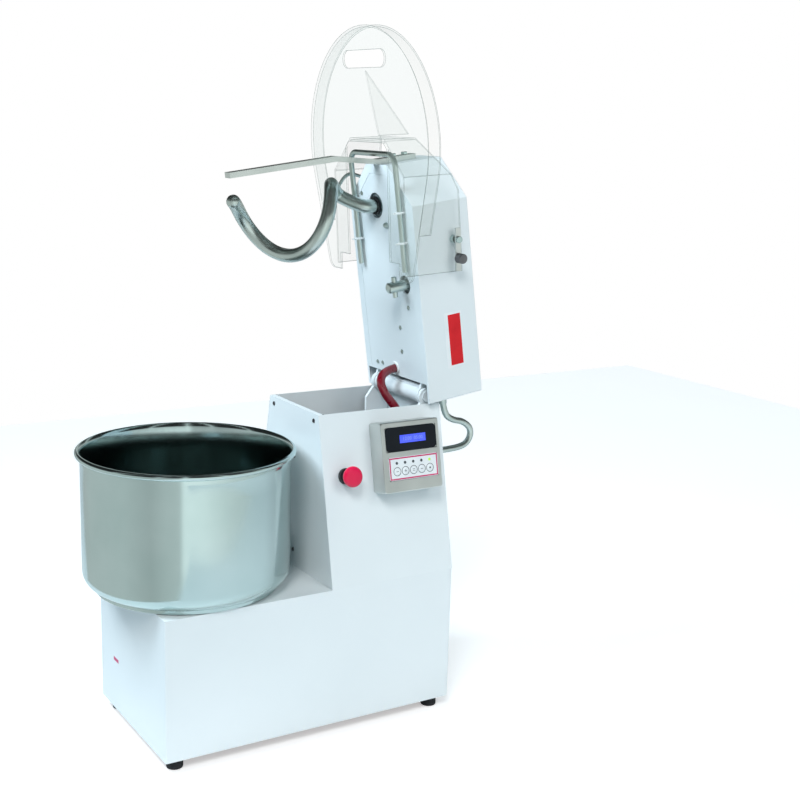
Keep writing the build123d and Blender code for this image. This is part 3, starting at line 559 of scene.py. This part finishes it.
# spiral hook
hook = {
    "x": -0.020, "along": 0.440, "radius": 0.0765, "startRadius": 0.056, "grow": 7, "bar": 0.0152,
    "first": -62, "turn": 20, "steps": 20, "curlFrom": 17, "curl": 0.0045,
    "startDown": 0.066, "rise": 0.0135, "lead": (0.000, 0.014, 0.030),
    "tip": ((0.0045, 0.93), (0.004, 0.80), (0.003, 0.58), (0.0015, 0.25)), "tipWithin": 0.05,
}


def makeHook():
    route = [(hook["x"], along(hook["along"]), up(-down)) for down in hook["lead"]]
    y = along(hook["along"])
    for step in range(hook["steps"] + 1):
        angle = radians(hook["first"] + hook["turn"] * step)
        share = min(step / hook["grow"], 1)
        radius = hook["startRadius"] + (hook["radius"] - hook["startRadius"]) * share
        radius -= hook["curl"] * max(0, step - hook["curlFrom"])
        down = hook["startDown"] + hook["rise"] * step
        route.append((hook["x"] + radius * sin(angle), y - radius * cos(angle), up(-down)))
    bar = tube("hookBar", route, hook["bar"], 4, 7)
    bar.data.use_fill_caps = False
    bar = toMesh(bar)
    # the open end is drawn in to a rounded tip
    pick(bar)
    bpy.ops.object.mode_set(mode="EDIT")
    bpy.ops.mesh.select_all(action="DESELECT")
    bpy.ops.mesh.select_non_manifold()
    bpy.ops.object.mode_set(mode="OBJECT")
    tip = Vector(route[-1])
    for edge in bar.data.edges:
        if edge.select and (bar.data.vertices[edge.vertices[0]].co - tip).length > hook["tipWithin"]:
            edge.select = False
    for vertex in bar.data.vertices:
        if vertex.select and (vertex.co - tip).length > hook["tipWithin"]:
            vertex.select = False
    heading = (tip - Vector(route[-2])).normalized()
    bpy.ops.object.mode_set(mode="EDIT")
    for reach, share in hook["tip"]:
        bpy.ops.mesh.extrude_region_move(TRANSFORM_OT_translate={"value": heading * reach})
        bpy.ops.transform.resize(value=(share, share, share))
    bpy.ops.mesh.merge(type="CENTER")
    bpy.ops.object.mode_set(mode="OBJECT")
    # a black disc round the neck of the hook: its black is painted shade, standing in for the dark hole the
    # bar comes out of
    collar = lathe("hookCollarPaintedShade", [
        (pole, 0.0), (0.0195, 0.0), (0.0205, 0.001), (0.0205, 0.006), (0.0195, 0.007), (pole, 0.007),
    ], (hook["x"], along(hook["along"]), up(-0.004)), 64)
    setPlace(collar, raised)
    dress(collar, blackRubber, "spiral")
    shaded(facesOut(bar), 40)
    setPlace(bar, raised)
    dress(bar, hookSteel, "spiral", ["spiral_hook"])


makeHook()
print("spiral hook done")

# guard hoop and side rod
hoop = {
    "half": 0.096, "rod": 0.0062, "up": -0.009, "rear": 0.301, "tip": 0.559, "bend": 0.026,
    "clips": ((0.366, 1), (0.433, 1), (0.360, -1), (0.433, -1)),
}
sideRod = {
    "x": -0.1412, "rod": 0.004, "padX": -0.143,
    "route": (
        (0.470, 0.070), (0.488, 0.050), (0.497, 0.030), (0.505, 0.010), (0.499, -0.006), (0.484, -0.020),
        (0.470, -0.033),
    ),
}


def bentTube(name, corners, bend, radius):
    # straight runs with arcs at the two corners
    spots = [corners[0]]
    for before, corner, after in zip(corners, corners[1:], corners[2:]):
        inward = (Vector(before) - Vector(corner)).normalized()
        onward = (Vector(after) - Vector(corner)).normalized()
        centre = Vector(corner) + (inward + onward) * bend
        for step in range(13):
            share = step / 12 * pi / 2
            spots.append(centre - onward * bend * cos(share) - inward * bend * sin(share))
    spots.append(corners[-1])
    piece = tube(name, spots, radius, 2, 6)
    return toMesh(piece)


def makeHoop():
    side, z = hoop["half"], up(hoop["up"])
    corners = [
        (-side, along(hoop["rear"]), z), (-side, along(hoop["tip"]), z),
        (side, along(hoop["tip"]), z), (side, along(hoop["rear"]), z),
    ]
    rod = bentTube("guardHoopRod", corners, hoop["bend"], hoop["rod"])
    softened(rod, 0.0012, 2, 60)
    setPlace(rod, raised)
    dress(rod, hookSteel, "head", ["guard_hoop"])
    clips = []
    for number, (s, way) in enumerate(hoop["clips"]):
        ring = lathe(f"clipRing{number}", [
            (0.0064, -0.0022), (0.0092, -0.0022), (0.0098, -0.0015), (0.0098, 0.0015),
            (0.0092, 0.0022), (0.0064, 0.0022), (0.0064, -0.0022),
        ], (0, 0, 0), 32)
        turn = Matrix.Translation((way * side, along(s), z)) @ Matrix.Rotation(radians(90), 4, "X")
        setPlace(ring, turn)
        foot = boxPiece(
            f"clipFoot{number}", (way * side - 0.0088, along(s) - 0.002, z + 0.0066),
            (way * side + 0.0088, along(s) + 0.002, up(-0.0002)),
        )
        tail = boxPiece(
            f"clipTail{number}", (way * side - 0.0012, along(s) - 0.0016, z - 0.0175),
            (way * side + 0.0012, along(s) + 0.0016, z - 0.0092),
        )
        clips += [ring, softened(foot, 0.0005), softened(tail, 0.0004)]
    piece = joined("hoopClipSet", clips)
    shaded(piece)
    setPlace(piece, raised)
    dress(piece, clipPlastic, "head", ["hoop_clips"])


def makeSideRod():
    route = [(sideRod["x"], along(s), up(t)) for s, t in sideRod["route"]]
    rod = toMesh(tube("sideRodBar", route, sideRod["rod"], 3, 5))
    softened(rod, 0.0008, 2, 60)
    profile = [(pole, 0), (0.0074, 0), (0.008, 0.0008), (0.008, 0.0072), (pole, 0.0079)]
    pad = lathe("sideRodPad", profile, (0, 0, 0), 40)
    s, t = sideRod["route"][0]
    spot = Matrix.Translation((sideRod["padX"], along(s), up(t)))
    setPlace(pad, spot @ Matrix.Rotation(radians(90), 4, "Y"))
    piece = joined("sideRodHook", [rod, pad])
    shaded(piece)
    setPlace(piece, raised)
    dress(piece, hookSteel, "head", ["side_rod"])


makeHoop()
makeSideRod()
print("hoop and side rod done")

# drive stub, bolts and screws
stub = {
    "x": 0.074, "along": 0.268, "radius": 0.0123, "reach": 0.045, "top": 0.104,
    "pinDown": 0.027, "pinHalf": 0.0235, "pin": 0.0058,
}
bolts = {"along": 0.5454, "up": (0.045, 0.075), "size": 0.008, "high": 0.0058}
screw = {"radius": 0.005, "high": 0.0024, "socket": 0.0018}
headScrews = {
    "places": (
        (-0.078, 0.464), (0.080, 0.216), (0.037, 0.164), (0.034, 0.107), (-0.082, 0.063), (-0.059, 0.064),
    ),
    "dome": (0.020, 0.398), "lift": 0.0003,
}
frontScrews = {"y": 0.037, "places": ((-0.0963, 0.698), (0.0963, 0.698), (0.006, 0.378), (0.006, 0.598))}


def buttonHead(name):
    radius, high, socket = screw["radius"], screw["high"], screw["socket"]
    profile = [(pole, 0), (radius, 0), (radius, high * 0.25)]
    profile += [(radius * 0.93, high * 0.6), (radius * 0.72, high * 0.88), (socket * 1.25, high)]
    profile += [(socket, high), (socket, high * 0.45), (pole, high * 0.35)]
    return lathe(name, profile, (0, 0, 0), 30)


def makeStub():
    x, y = stub["x"], along(stub["along"])
    shaft = lathe("stubShaft", [
        (pole, -stub["reach"]), (0.009, -stub["reach"]), (stub["radius"] - 0.0006, -stub["reach"] + 0.0022),
        (stub["radius"], -stub["reach"] + 0.004), (stub["radius"], stub["top"] - 0.001),
        (stub["radius"] - 0.001, stub["top"]), (pole, stub["top"]),
    ], (x, y, head["underside"]), 48)
    setPlace(shaft, raised)
    dress(shaft, hookSteel, "drive_stub", ["drive_stub"])
    pin = lathe("stubPin", [
        (pole, -stub["pinHalf"]), (0.0048, -stub["pinHalf"]), (stub["pin"], -stub["pinHalf"] + 0.001),
        (stub["pin"], stub["pinHalf"] - 0.001), (0.0048, stub["pinHalf"]), (pole, stub["pinHalf"]),
    ], (0, 0, 0), 32)
    turn = Matrix.Translation((x, y, up(-stub["pinDown"]))) @ Matrix.Rotation(radians(90), 4, "X")
    setPlace(pin, raised @ turn)
    dress(pin, hookSteel, "drive_stub", ["cross_pin"])


def makeBolts():
    heads = []
    for number, t in enumerate(bolts["up"]):
        deselect()
        bpy.ops.mesh.primitive_cylinder_add(vertices=6, radius=bolts["size"], depth=bolts["high"])
        bolt = named(f"bolt{number}")
        softened(bolt, 0.0007, 2, 50)
        spot = Matrix.Translation((0, along(bolts["along"]) - bolts["high"] / 2, up(t)))
        heads.append(setPlace(bolt, spot @ Matrix.Rotation(radians(90), 4, "X")))
    piece = joined("breakerBoltHeads", heads)
    setPlace(piece, raised)
    dress(piece, polished, "head", ["breaker_bolts"])


def underHead(x, s):
    # on the underside of the lowered head, facing down
    return Matrix.Translation((x, along(s), up(headScrews["lift"]))) @ Matrix.Rotation(pi, 4, "X")


def makeScrews():
    screws = []
    for number, (x, s) in enumerate(headScrews["places"]):
        screws.append(setPlace(buttonHead(f"headScrew{number}"), underHead(x, s)))
    profile = [(pole, 0), (0.0068, 0), (0.0068, 0.0032), *arcOf((0, 0.0030), 0.0060, 8, 88, 7), (pole, 0.009)]
    dome = lathe("domeNut", profile, (0, 0, 0), 30)
    screws.append(setPlace(dome, underHead(*headScrews["dome"])))
    piece = joined("headScrewSet", screws)
    shaded(piece)
    setPlace(piece, raised)
    dress(piece, hookSteel, "head", ["head_screws"])
    front = []
    for number, (x, z) in enumerate(frontScrews["places"]):
        turn = Matrix.Translation((x, frontScrews["y"], z)) @ Matrix.Rotation(radians(90), 4, "X")
        front.append(setPlace(buttonHead(f"frontScrew{number}"), turn))
    piece = joined("frontScrewSet", front)
    shaded(piece)
    dress(piece, darkSteel, "cabinet", ["panel_screws"])


makeStub()
makeBolts()
makeScrews()
print("stub, bolts and screws done")

# feet
feet = {"x": 0.162, "y": 0.318, "radius": 0.018, "high": 0.0268}


def makeFeet():
    radius, high = feet["radius"], feet["high"]
    profile = [(pole, 0), (radius - 0.0028, 0), (radius - 0.0006, 0.001), (radius, 0.003)]
    profile += [(radius, 0.010), (radius - 0.0008, 0.0108), (radius, 0.0116)]
    profile += [(radius, high - 0.002), (radius - 0.001, high), (pole, high)]
    for number, (xWay, yWay) in enumerate(((-1, -1), (1, -1), (-1, 1), (1, 1))):
        foot = lathe(f"foot{number}", profile, (xWay * feet["x"], yWay * feet["y"], 0), 48)
        dress(foot, blackRubber, "cabinet", ["rubber_feet"] if number == 0 else [])


makeFeet()
print("feet done")

# things on the leaning side
panel = {
    "halfBase": 0.194, "deck": 0.340, "lean": 11.6335, "depth": 0.050,
    "padY": (0.174, 0.301), "padU": (0.224, 0.275), "border": 0.0030, "lampU": 0.2618, "keyU": 0.2433,
    "keyY": 0.194, "keyPitch": 0.0213, "keyRadius": 0.0076, "keyLine": 0.0098,
    "windowY": (0.170, 0.302), "windowU": (0.287, 0.341), "windowCorner": 0.011, "padCorner": 0.004,
    "screenY": (0.2065, 0.274), "screenU": (0.3045, 0.3225), "plateEdge": 0.0002, "padThick": 0.0005,
    "signs": ("minus", "plus", "bars", "dots", "square"), "borderIn": 0.0012, "lineWide": 0.0012,
}
stop = {
    "y": 0.091, "u": 0.2435,
    "cap": (
        (pole, 0.012), (0.0086, 0.012), (0.0086, 0.0280), (0.0160, 0.0280), (0.0212, 0.0288),
        (0.0226, 0.0304), (0.0230, 0.033), (0.0226, 0.0364), (0.0208, 0.0390), (0.0170, 0.0404),
        (0.0110, 0.0409), (pole, 0.0410),
    ),
    "collar": (
        (0.009, 0.004), (0.009, 0.0218), (0.0130, 0.0218), (0.0140, 0.0208), (0.0140, 0.0095),
        (0.0172, 0.0090), (0.0180, 0.0080), (0.0180, 0.0005), (0.0090, 0.0005), (0.0090, 0.004),
    ),
}


def onSide(y, u, depth):
    # local X runs to the rear, local Y up the slope and local Z outwards
    lean = radians(panel["lean"])
    x = panel["halfBase"] - u * sin(lean) + depth * cos(lean)
    z = panel["deck"] + u * cos(lean) + depth * sin(lean)
    rear, outward = Vector((0, 1, 0)), Vector((cos(lean), 0, sin(lean)))
    slope = outward.cross(rear)
    turn = Matrix((rear, slope, outward)).transposed().to_4x4()
    return Matrix.Translation((x, y, z)) @ turn


def panelSheet(name, y, u):
    # a flat sheet the size of a field on the panel, all of it selected
    deselect()
    bpy.ops.mesh.primitive_plane_add(size=1)
    piece = named(name)
    piece.scale = (y[1] - y[0], u[1] - u[0], 1)
    setPlace(piece)
    bpy.ops.object.mode_set(mode="EDIT")
    bpy.ops.mesh.select_all(action="SELECT")
    return piece


def frameStrip(name, y, u, thick, depth, high):
    # a printed line round a field: a plate with its middle inset and taken out
    piece = panelSheet(name, y, u)
    bpy.ops.mesh.inset(thickness=thick)
    bpy.ops.mesh.delete(type="FACE")
    bpy.ops.mesh.select_all(action="SELECT")
    bpy.ops.mesh.extrude_region_move(TRANSFORM_OT_translate={"value": (0, 0, high)})
    bpy.ops.object.mode_set(mode="OBJECT")
    facesOut(piece)
    return setPlace(piece, onSide((y[0] + y[1]) / 2, (u[0] + u[1]) / 2, depth))


def ringPiece(name, radius, thick, high):
    profile = [(radius, 0), (radius, high), (radius - thick, high), (radius - thick, 0), (radius, 0)]
    return lathe(name, profile, (0, 0, 0), 40)


def roundedPlate(name, y, u, corner, low, high):
    # a thin plate on the panel with rounded corners and a broken front edge
    edge = panel["plateEdge"]
    piece = panelSheet(name, y, u)
    bpy.ops.mesh.bevel(offset=corner, segments=8, affect="VERTICES")
    bpy.ops.mesh.extrude_region_move(TRANSFORM_OT_translate={"value": (0, 0, high - low - edge)})
    bpy.ops.mesh.inset(thickness=edge, depth=edge)
    bpy.ops.object.mode_set(mode="OBJECT")
    facesOut(piece)
    shaded(piece)
    return setPlace(piece, onSide((y[0] + y[1]) / 2, (u[0] + u[1]) / 2, low))


def makePlates():
    top = panel["depth"]
    window = roundedPlate(
        "windowPlate", panel["windowY"], panel["windowU"], panel["windowCorner"], top - 0.0006, top + 0.0001
    )
    dress(window, windowBlack, "cabinet", ["control_window"])
    pad = roundedPlate(
        "keypadSheet", panel["padY"], panel["padU"], panel["padCorner"], top - 0.0002, top + 0.00045
    )
    dress(pad, whiteFilm, "cabinet", ["keypad_plate"])


def makeKeypad():
    top = panel["depth"] + panel["padThick"]
    inset = panel["borderIn"]
    edge = [(low + inset, high - inset) for low, high in (panel["padY"], panel["padU"])]
    border = frameStrip("keypadBorder", *edge, panel["border"], top, 0.00012)
    dress(border, roseInk, "cabinet")
    for number, kind in enumerate(panel["signs"]):
        place = panel["keyY"] + panel["keyPitch"] * number
        node = f"key_{number + 1}"
        cap = lathe(f"keyCap{number + 1}", [
            (pole, -0.0008), (panel["keyRadius"], -0.0008), (panel["keyRadius"], 0.0006),
            (panel["keyRadius"] - 0.0005, 0.0010), (panel["keyRadius"] * 0.6, 0.0011), (pole, 0.0011),
        ], (0, 0, 0), 40)
        setPlace(cap, onSide(place, panel["keyU"], panel["depth"]))
        dress(cap, whiteFilm, node, [node])
        ring = ringPiece(f"keyRing{number + 1}", panel["keyLine"], panel["lineWide"], 0.0001)
        setPlace(ring, onSide(place, panel["keyU"], top))
        dress(ring, greyInk, "cabinet")
        sign = joined(f"keyMark{number + 1}", keySign(kind, number, place))
        dress(sign, greyInk, node)
        lamp = lathe(f"lampDome{number + 1}", [
            (0.0032, -0.0008), (0.0032, 0.0007), (0.0026, 0.0010), (0.0014, 0.0012), (pole, 0.0013),
        ], (0, 0, 0), 24)
        setPlace(lamp, onSide(place, panel["lampU"], panel["depth"]))
        stands = ["status_lamps"] if number == 0 else []
        dress(lamp, lampGreen if number == 4 else greyInk, "cabinet", stands)


def keySign(kind, number, place):
    # simple signs, each a few raised strokes
    strokes = {
        "minus": ((0, 0, 0.0060, 0.0011),),
        "plus": ((0, 0, 0.0060, 0.0011), (0, 0.0019, 0.0011, 0.0024), (0, -0.0019, 0.0011, 0.0024)),
        "bars": ((0, 0.0018, 0.0060, 0.0009), (0, -0.0018, 0.0060, 0.0009)),
        "dots": ((-0.0022, 0, 0.0014, 0.0014), (0, 0, 0.0014, 0.0014), (0.0022, 0, 0.0014, 0.0014)),
        "square": ((0, 0, 0.0036, 0.0036),),
    }[kind]
    made = []
    for stroke, (x, y, wide, high) in enumerate(strokes):
        low, top = (x - wide / 2, y - high / 2, 0), (x + wide / 2, y + high / 2, 0.00018)
        bar = boxPiece(f"stroke{number}{stroke}", low, top)
        made.append(setPlace(bar, onSide(place, panel["keyU"], panel["depth"] + 0.00108)))
    return made


def makeScreen():
    y, u = panel["screenY"], panel["screenU"]
    deselect()
    bpy.ops.object.text_add()
    digits = named("screenDigits")
    digits.data.body = "12:00  05:00"
    digits.data.size = 0.0105
    digits.data.align_x = "CENTER"
    digits.data.align_y = "CENTER"
    digits.data.extrude = 0.00004
    bpy.ops.object.convert(target="MESH")
    digits = bpy.context.object
    setPlace(digits, onSide((y[0] + y[1]) / 2, (u[0] + u[1]) / 2, panel["depth"] + 0.00025))
    dress(digits, screenInk, "cabinet")


def makeStop():
    button = lathe("stopButton", stop["cap"], (0, 0, 0), 64)
    setPlace(button, onSide(stop["y"], stop["u"], 0))
    dress(button, redPlastic, "estop", ["estop_button"])
    collar = lathe("stopCollar", stop["collar"], (0, 0, 0), 64)
    setPlace(collar, onSide(stop["y"], stop["u"], 0))
    dress(collar, blackPlastic, "cabinet", ["estop_collar"])


makePlates()
makeKeypad()
makeScreen()
makeStop()
print("controls done")

# plain labels
label = {
    "x": 0.135, "along": (0.071, 0.199), "up": (0.057, 0.103), "sheet": 0.0002,
    "inset": 0.0028, "foot": 0.010,
}
mark = {"x": -0.0965, "y": -0.350, "z": 0.147, "wide": 0.030, "high": 0.008, "sheet": 0.0002}


def makeLabels():
    x, sheet, inset = label["x"], label["sheet"], label["inset"]
    (front, back), (foot, top) = label["along"], label["up"]
    white = boxPiece("sideLabelWhite", (x, along(back), up(foot)), (x + sheet, along(front), up(top)))
    setPlace(white, raised)
    dress(white, whiteFilm, "head")
    x += sheet / 2
    red = boxPiece(
        "sideLabelRed", (x, along(back - 2 * inset), up(foot + label["foot"])),
        (x + sheet, along(front + 2 * inset), up(top - inset)),
    )
    setPlace(red, raised)
    dress(red, redInk, "head")
    wide, high = mark["wide"] / 2, mark["high"] / 2
    strip = boxPiece(
        "frontMark", (mark["x"] - wide, mark["y"] - mark["sheet"], mark["z"] - high),
        (mark["x"] + wide, mark["y"], mark["z"] + high),
    )
    dress(strip, roseInk, "cabinet")


makeLabels()
print("labels done")

# hose, conduit and their fittings
hose = {
    "radius": 0.010, "smooth": 16,
    "route": (
        (0, 0.3069, 0.7785), (0, 0.276, 0.774), (0.012, 0.252, 0.754), (0.022, 0.264, 0.720),
        (0.032, 0.290, 0.688), (0.038, 0.298, 0.662), (0.038, 0.298, 0.6284),
    ),
}
conduit = {
    "radius": 0.0075, "smooth": 40,
    "route": (
        (0.110, 0.3613, 0.730), (0.110, 0.3676, 0.6862), (0.110, 0.392, 0.668), (0.110, 0.424, 0.662),
        (0.110, 0.448, 0.640), (0.110, 0.440, 0.610), (0.110, 0.410, 0.599), (0.110, 0.3624, 0.599),
    ),
}


grommet = {
    "along": 0.062,
    "profile": (
        (0.0103, -0.003), (0.0138, -0.003), (0.0150, -0.0018), (0.0150, 0.0), (0.0103, 0.0), (0.0103, -0.003),
    ),
}
ferrule = (
    (0.0076, 0.0), (0.0092, 0.0), (0.0096, -0.0008), (0.0096, -0.0190), (0.0090, -0.0202), (0.0076, -0.0205),
    (0.0076, 0.0),
)


def lengthOf(path):
    return sum((Vector(b) - Vector(a)).length for a, b in zip(path, path[1:]))


def cordTube(name, cord, material, node):
    line = tube(name, cord["route"], cord["radius"], 3, 6)
    line.data.resolution_u = cord["smooth"]
    path = centreLine(line)
    piece = toMesh(line)
    shaded(piece, 60)
    piece.data.materials.clear()
    piece.data.materials.append(material)
    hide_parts(node)
    return piece, path


def makeHose():
    piece, path = cordTube("redHoseTube", hose, redHose, "red_hose")
    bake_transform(piece)
    print("hose length", round(lengthOf(path), 3))


def makeConduit():
    piece, path = cordTube("steelConduitTube", conduit, hookSteel, "steel_conduit")
    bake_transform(piece)
    print("conduit length", round(lengthOf(path), 3))


def makeGrommet():
    ring = lathe("hoseGrommetRing", grommet["profile"], (0, along(grommet["along"]), head["underside"]), 48)
    setPlace(ring, raised)
    dress(ring, clipPlastic, "head", ["hose_grommet"])


def makeFerrule():
    # the straight steel end of the conduit at the head
    sleeve = lathe("conduitFerrule", ferrule, (0, 0, 0), 40)
    start, after = Vector(conduit["route"][0]), Vector(conduit["route"][1])
    turn = (start - after).to_track_quat("Z", "Y").to_matrix().to_4x4()
    setPlace(sleeve, Matrix.Translation(start) @ turn)
    dress(sleeve, hookSteel, "head")


makeHose()
makeConduit()
makeGrommet()
makeFerrule()
print("cables done")

# floor, light and camera
stage = {"size": 4.5, "spot": (-0.75, 1.5, -0.0006), "glow": 0.44}


def makeStage():
    # a plain sheet under and behind the mixer
    deselect()
    bpy.ops.mesh.primitive_plane_add(size=stage["size"], location=stage["spot"])
    floor = named("floor")
    setPlace(floor)
    paper = grained("paper", {
        "fixed": {"Specular IOR Level": 0.05, "Emission Color": (1, 0.96, 0.95, 1)},
        "dark": (0.93, 0.93, 0.93), "light": (0.95, 0.95, 0.95), "patchScale": 2,
        "grainScale": 200, "rough": (0.9, 1.0), "bump": 0.02, "depth": 0.0001,
    })
    # the floor glows for the camera only, so it stays white without lighting the paint from below
    tree = paper.node_tree
    shader = next(node for node in tree.nodes if node.type == "BSDF_PRINCIPLED")
    ray = tree.nodes.new("ShaderNodeLightPath")
    glow = tree.nodes.new("ShaderNodeMath")
    glow.operation = "MULTIPLY"
    glow.inputs[1].default_value = stage["glow"]
    tree.links.new(ray.outputs["Is Camera Ray"], glow.inputs[0])
    tree.links.new(glow.outputs[0], shader.inputs["Emission Strength"])
    floor.data.materials.append(paper)


def makeSun(name, way, strength, spread, colour):
    lamp = bpy.data.lights.new(name, "SUN")
    lamp.energy = strength
    lamp.angle = radians(spread)
    lamp.color = colour
    piece = bpy.data.objects.new(name, lamp)
    bpy.context.scene.collection.objects.link(piece)
    piece.rotation_euler = (-Vector(way)).to_track_quat("-Z", "Y").to_euler()
    piece.visible_glossy = False


def makeLight(name, spot, target, size, power, colour):
    lamp = bpy.data.lights.new(name, "AREA")
    lamp.energy = power
    lamp.size = size
    lamp.color = colour
    piece = bpy.data.objects.new(name, lamp)
    bpy.context.scene.collection.objects.link(piece)
    piece.location = spot
    piece.rotation_euler = (Vector(target) - Vector(spot)).to_track_quat("-Z", "Y").to_euler()
    piece.visible_glossy = False


# brightness of the studio round the mixer, by direction in degrees from +X towards +Y
studio = {
    "panels": (
        (-180, 0.50), (-150, 0.68), (-95, 0.72), (-62, 0.60), (-45, 0.72), (-29, 0.74), (-27, 1.25),
        (-6, 1.20), (30, 0.90), (75, 0.70), (110, 0.60), (150, 0.45),
    ),
    "strips": (-100, -52, -24, 18, 64, 118, 165), "stripHalf": 3.2, "stripBright": 1.2,
    "ceiling": 0.015, "ambient": (0.11, 0.20, 0.245), "steelTint": (0.93, 1.0, 0.99),
    "gain": 2.0, "stripsFrom": 0.10, "stripsFull": 0.26,
}
# a name, where the light comes from, strength, spread in degrees, colour
suns = (
    ("keySun", (0.60, -0.50, 0.75), 1.35, 20, (1.0, 1.0, 1.0)),
    ("sideSun", (1.0, 0.10, 0.50), 0.36, 50, (1.0, 1.0, 0.99)),
)
# a name, place, target, size, power, colour
lamps = (
    ("frontLight", (-0.2, -1.3, 2.1), (0, 0.3, 1.0), 0.9, 42, (0.76, 0.90, 1.0)),
    ("sideLight", (2.1, 0.7, 1.9), (0, 0.3, 0.9), 1.2, 15, (1.0, 0.99, 0.97)),
)


def rampOf(tree, stops):
    ramp = tree.nodes.new("ShaderNodeValToRGB")
    ramp.color_ramp.elements[0].position = stops[0][0]
    ramp.color_ramp.elements[1].position = stops[-1][0]
    for spot, _ in stops[1:-1]:
        ramp.color_ramp.elements.new(spot)
    for element, (_, bright) in zip(ramp.color_ramp.elements, stops):
        element.color = (bright, bright, bright, 1)
    return ramp


def makeWorld():
    world = bpy.data.worlds.new("studio")
    bpy.context.scene.world = world
    world.use_nodes = True
    tree = world.node_tree
    link = tree.links.new
    place = tree.nodes.new("ShaderNodeTexCoord")
    split = tree.nodes.new("ShaderNodeSeparateXYZ")
    link(place.outputs["Generated"], split.inputs["Vector"])
    heading = tree.nodes.new("ShaderNodeMath")
    heading.operation = "ARCTAN2"
    link(split.outputs["Y"], heading.inputs[0])
    link(split.outputs["X"], heading.inputs[1])
    turn = tree.nodes.new("ShaderNodeMapRange")
    turn.inputs["From Min"].default_value = -pi
    turn.inputs["From Max"].default_value = pi
    link(heading.outputs[0], turn.inputs["Value"])
    stops = [((angle + 180) / 360, bright / studio["gain"]) for angle, bright in studio["panels"]]
    panels = rampOf(tree, stops)
    link(turn.outputs["Result"], panels.inputs["Fac"])
    stops = [(0, studio["ceiling"])]
    for angle in studio["strips"]:
        half, dark = studio["stripHalf"], studio["ceiling"]
        for offset, bright in ((-half, dark), (0, studio["stripBright"] / studio["gain"]), (half, dark)):
            stops.append(((angle + offset + 180) / 360, bright))
    stops.append((1, studio["ceiling"]))
    strips = rampOf(tree, stops)
    link(turn.outputs["Result"], strips.inputs["Fac"])
    height = rampOf(tree, [(0, 0), (studio["stripsFrom"], 0), (studio["stripsFull"], 1), (1, 1)])
    link(split.outputs["Z"], height.inputs["Fac"])
    around = tree.nodes.new("ShaderNodeMix")
    around.data_type = "RGBA"
    link(height.outputs["Color"], around.inputs["Factor"])
    link(panels.outputs["Color"], around.inputs[6])
    link(strips.outputs["Color"], around.inputs[7])
    tint = tree.nodes.new("ShaderNodeMix")
    tint.data_type = "RGBA"
    tint.blend_type = "MULTIPLY"
    tint.inputs["Factor"].default_value = 1
    tint.inputs[7].default_value = (*studio["steelTint"], 1)
    link(around.outputs[2], tint.inputs[6])
    gloss = tree.nodes["Background"]
    gloss.inputs["Strength"].default_value = studio["gain"]
    link(tint.outputs[2], gloss.inputs["Color"])
    ambient = tree.nodes.new("ShaderNodeBackground")
    ambient.inputs["Color"].default_value = (*studio["ambient"], 1)
    white = tree.nodes.new("ShaderNodeBackground")
    white.inputs["Color"].default_value = (1, 1, 1, 1)
    ray = tree.nodes.new("ShaderNodeLightPath")
    soft = tree.nodes.new("ShaderNodeMixShader")
    link(ray.outputs["Is Diffuse Ray"], soft.inputs["Fac"])
    link(gloss.outputs["Background"], soft.inputs[1])
    link(ambient.outputs["Background"], soft.inputs[2])
    seen = tree.nodes.new("ShaderNodeMixShader")
    link(ray.outputs["Is Camera Ray"], seen.inputs["Fac"])
    link(soft.outputs["Shader"], seen.inputs[1])
    link(white.outputs["Background"], seen.inputs[2])
    link(seen.outputs["Shader"], tree.nodes["World Output"].inputs["Surface"])


cameraPlace = {"spot": (2.529, -1.275, 1.346), "yaw": 57.8, "pitch": 12.2, "roll": -1.68, "lens": 58.59}


def makeCamera():
    lens = bpy.data.cameras.new("camera")
    lens.lens = cameraPlace["lens"]
    lens.sensor_width = 36
    piece = bpy.data.objects.new("camera", lens)
    bpy.context.scene.collection.objects.link(piece)
    yaw, pitch, roll = (radians(cameraPlace[key]) for key in ("yaw", "pitch", "roll"))
    forward = Vector((-sin(yaw) * cos(pitch), cos(yaw) * cos(pitch), -sin(pitch)))
    right = Vector((cos(yaw), sin(yaw), 0))
    down = forward.cross(right)
    side = right * cos(roll) + down * sin(roll)
    low = -right * sin(roll) + down * cos(roll)
    turn = Matrix((side, -low, -forward)).transposed().to_4x4()
    piece.matrix_world = Matrix.Translation(cameraPlace["spot"]) @ turn
    bpy.context.scene.camera = piece


makeStage()
makeWorld()
for sun in suns:
    makeSun(*sun)
for lamp in lamps:
    makeLight(*lamp)
makeCamera()
bpy.context.scene.view_settings.view_transform = "Standard"
print("stage, light and camera done")
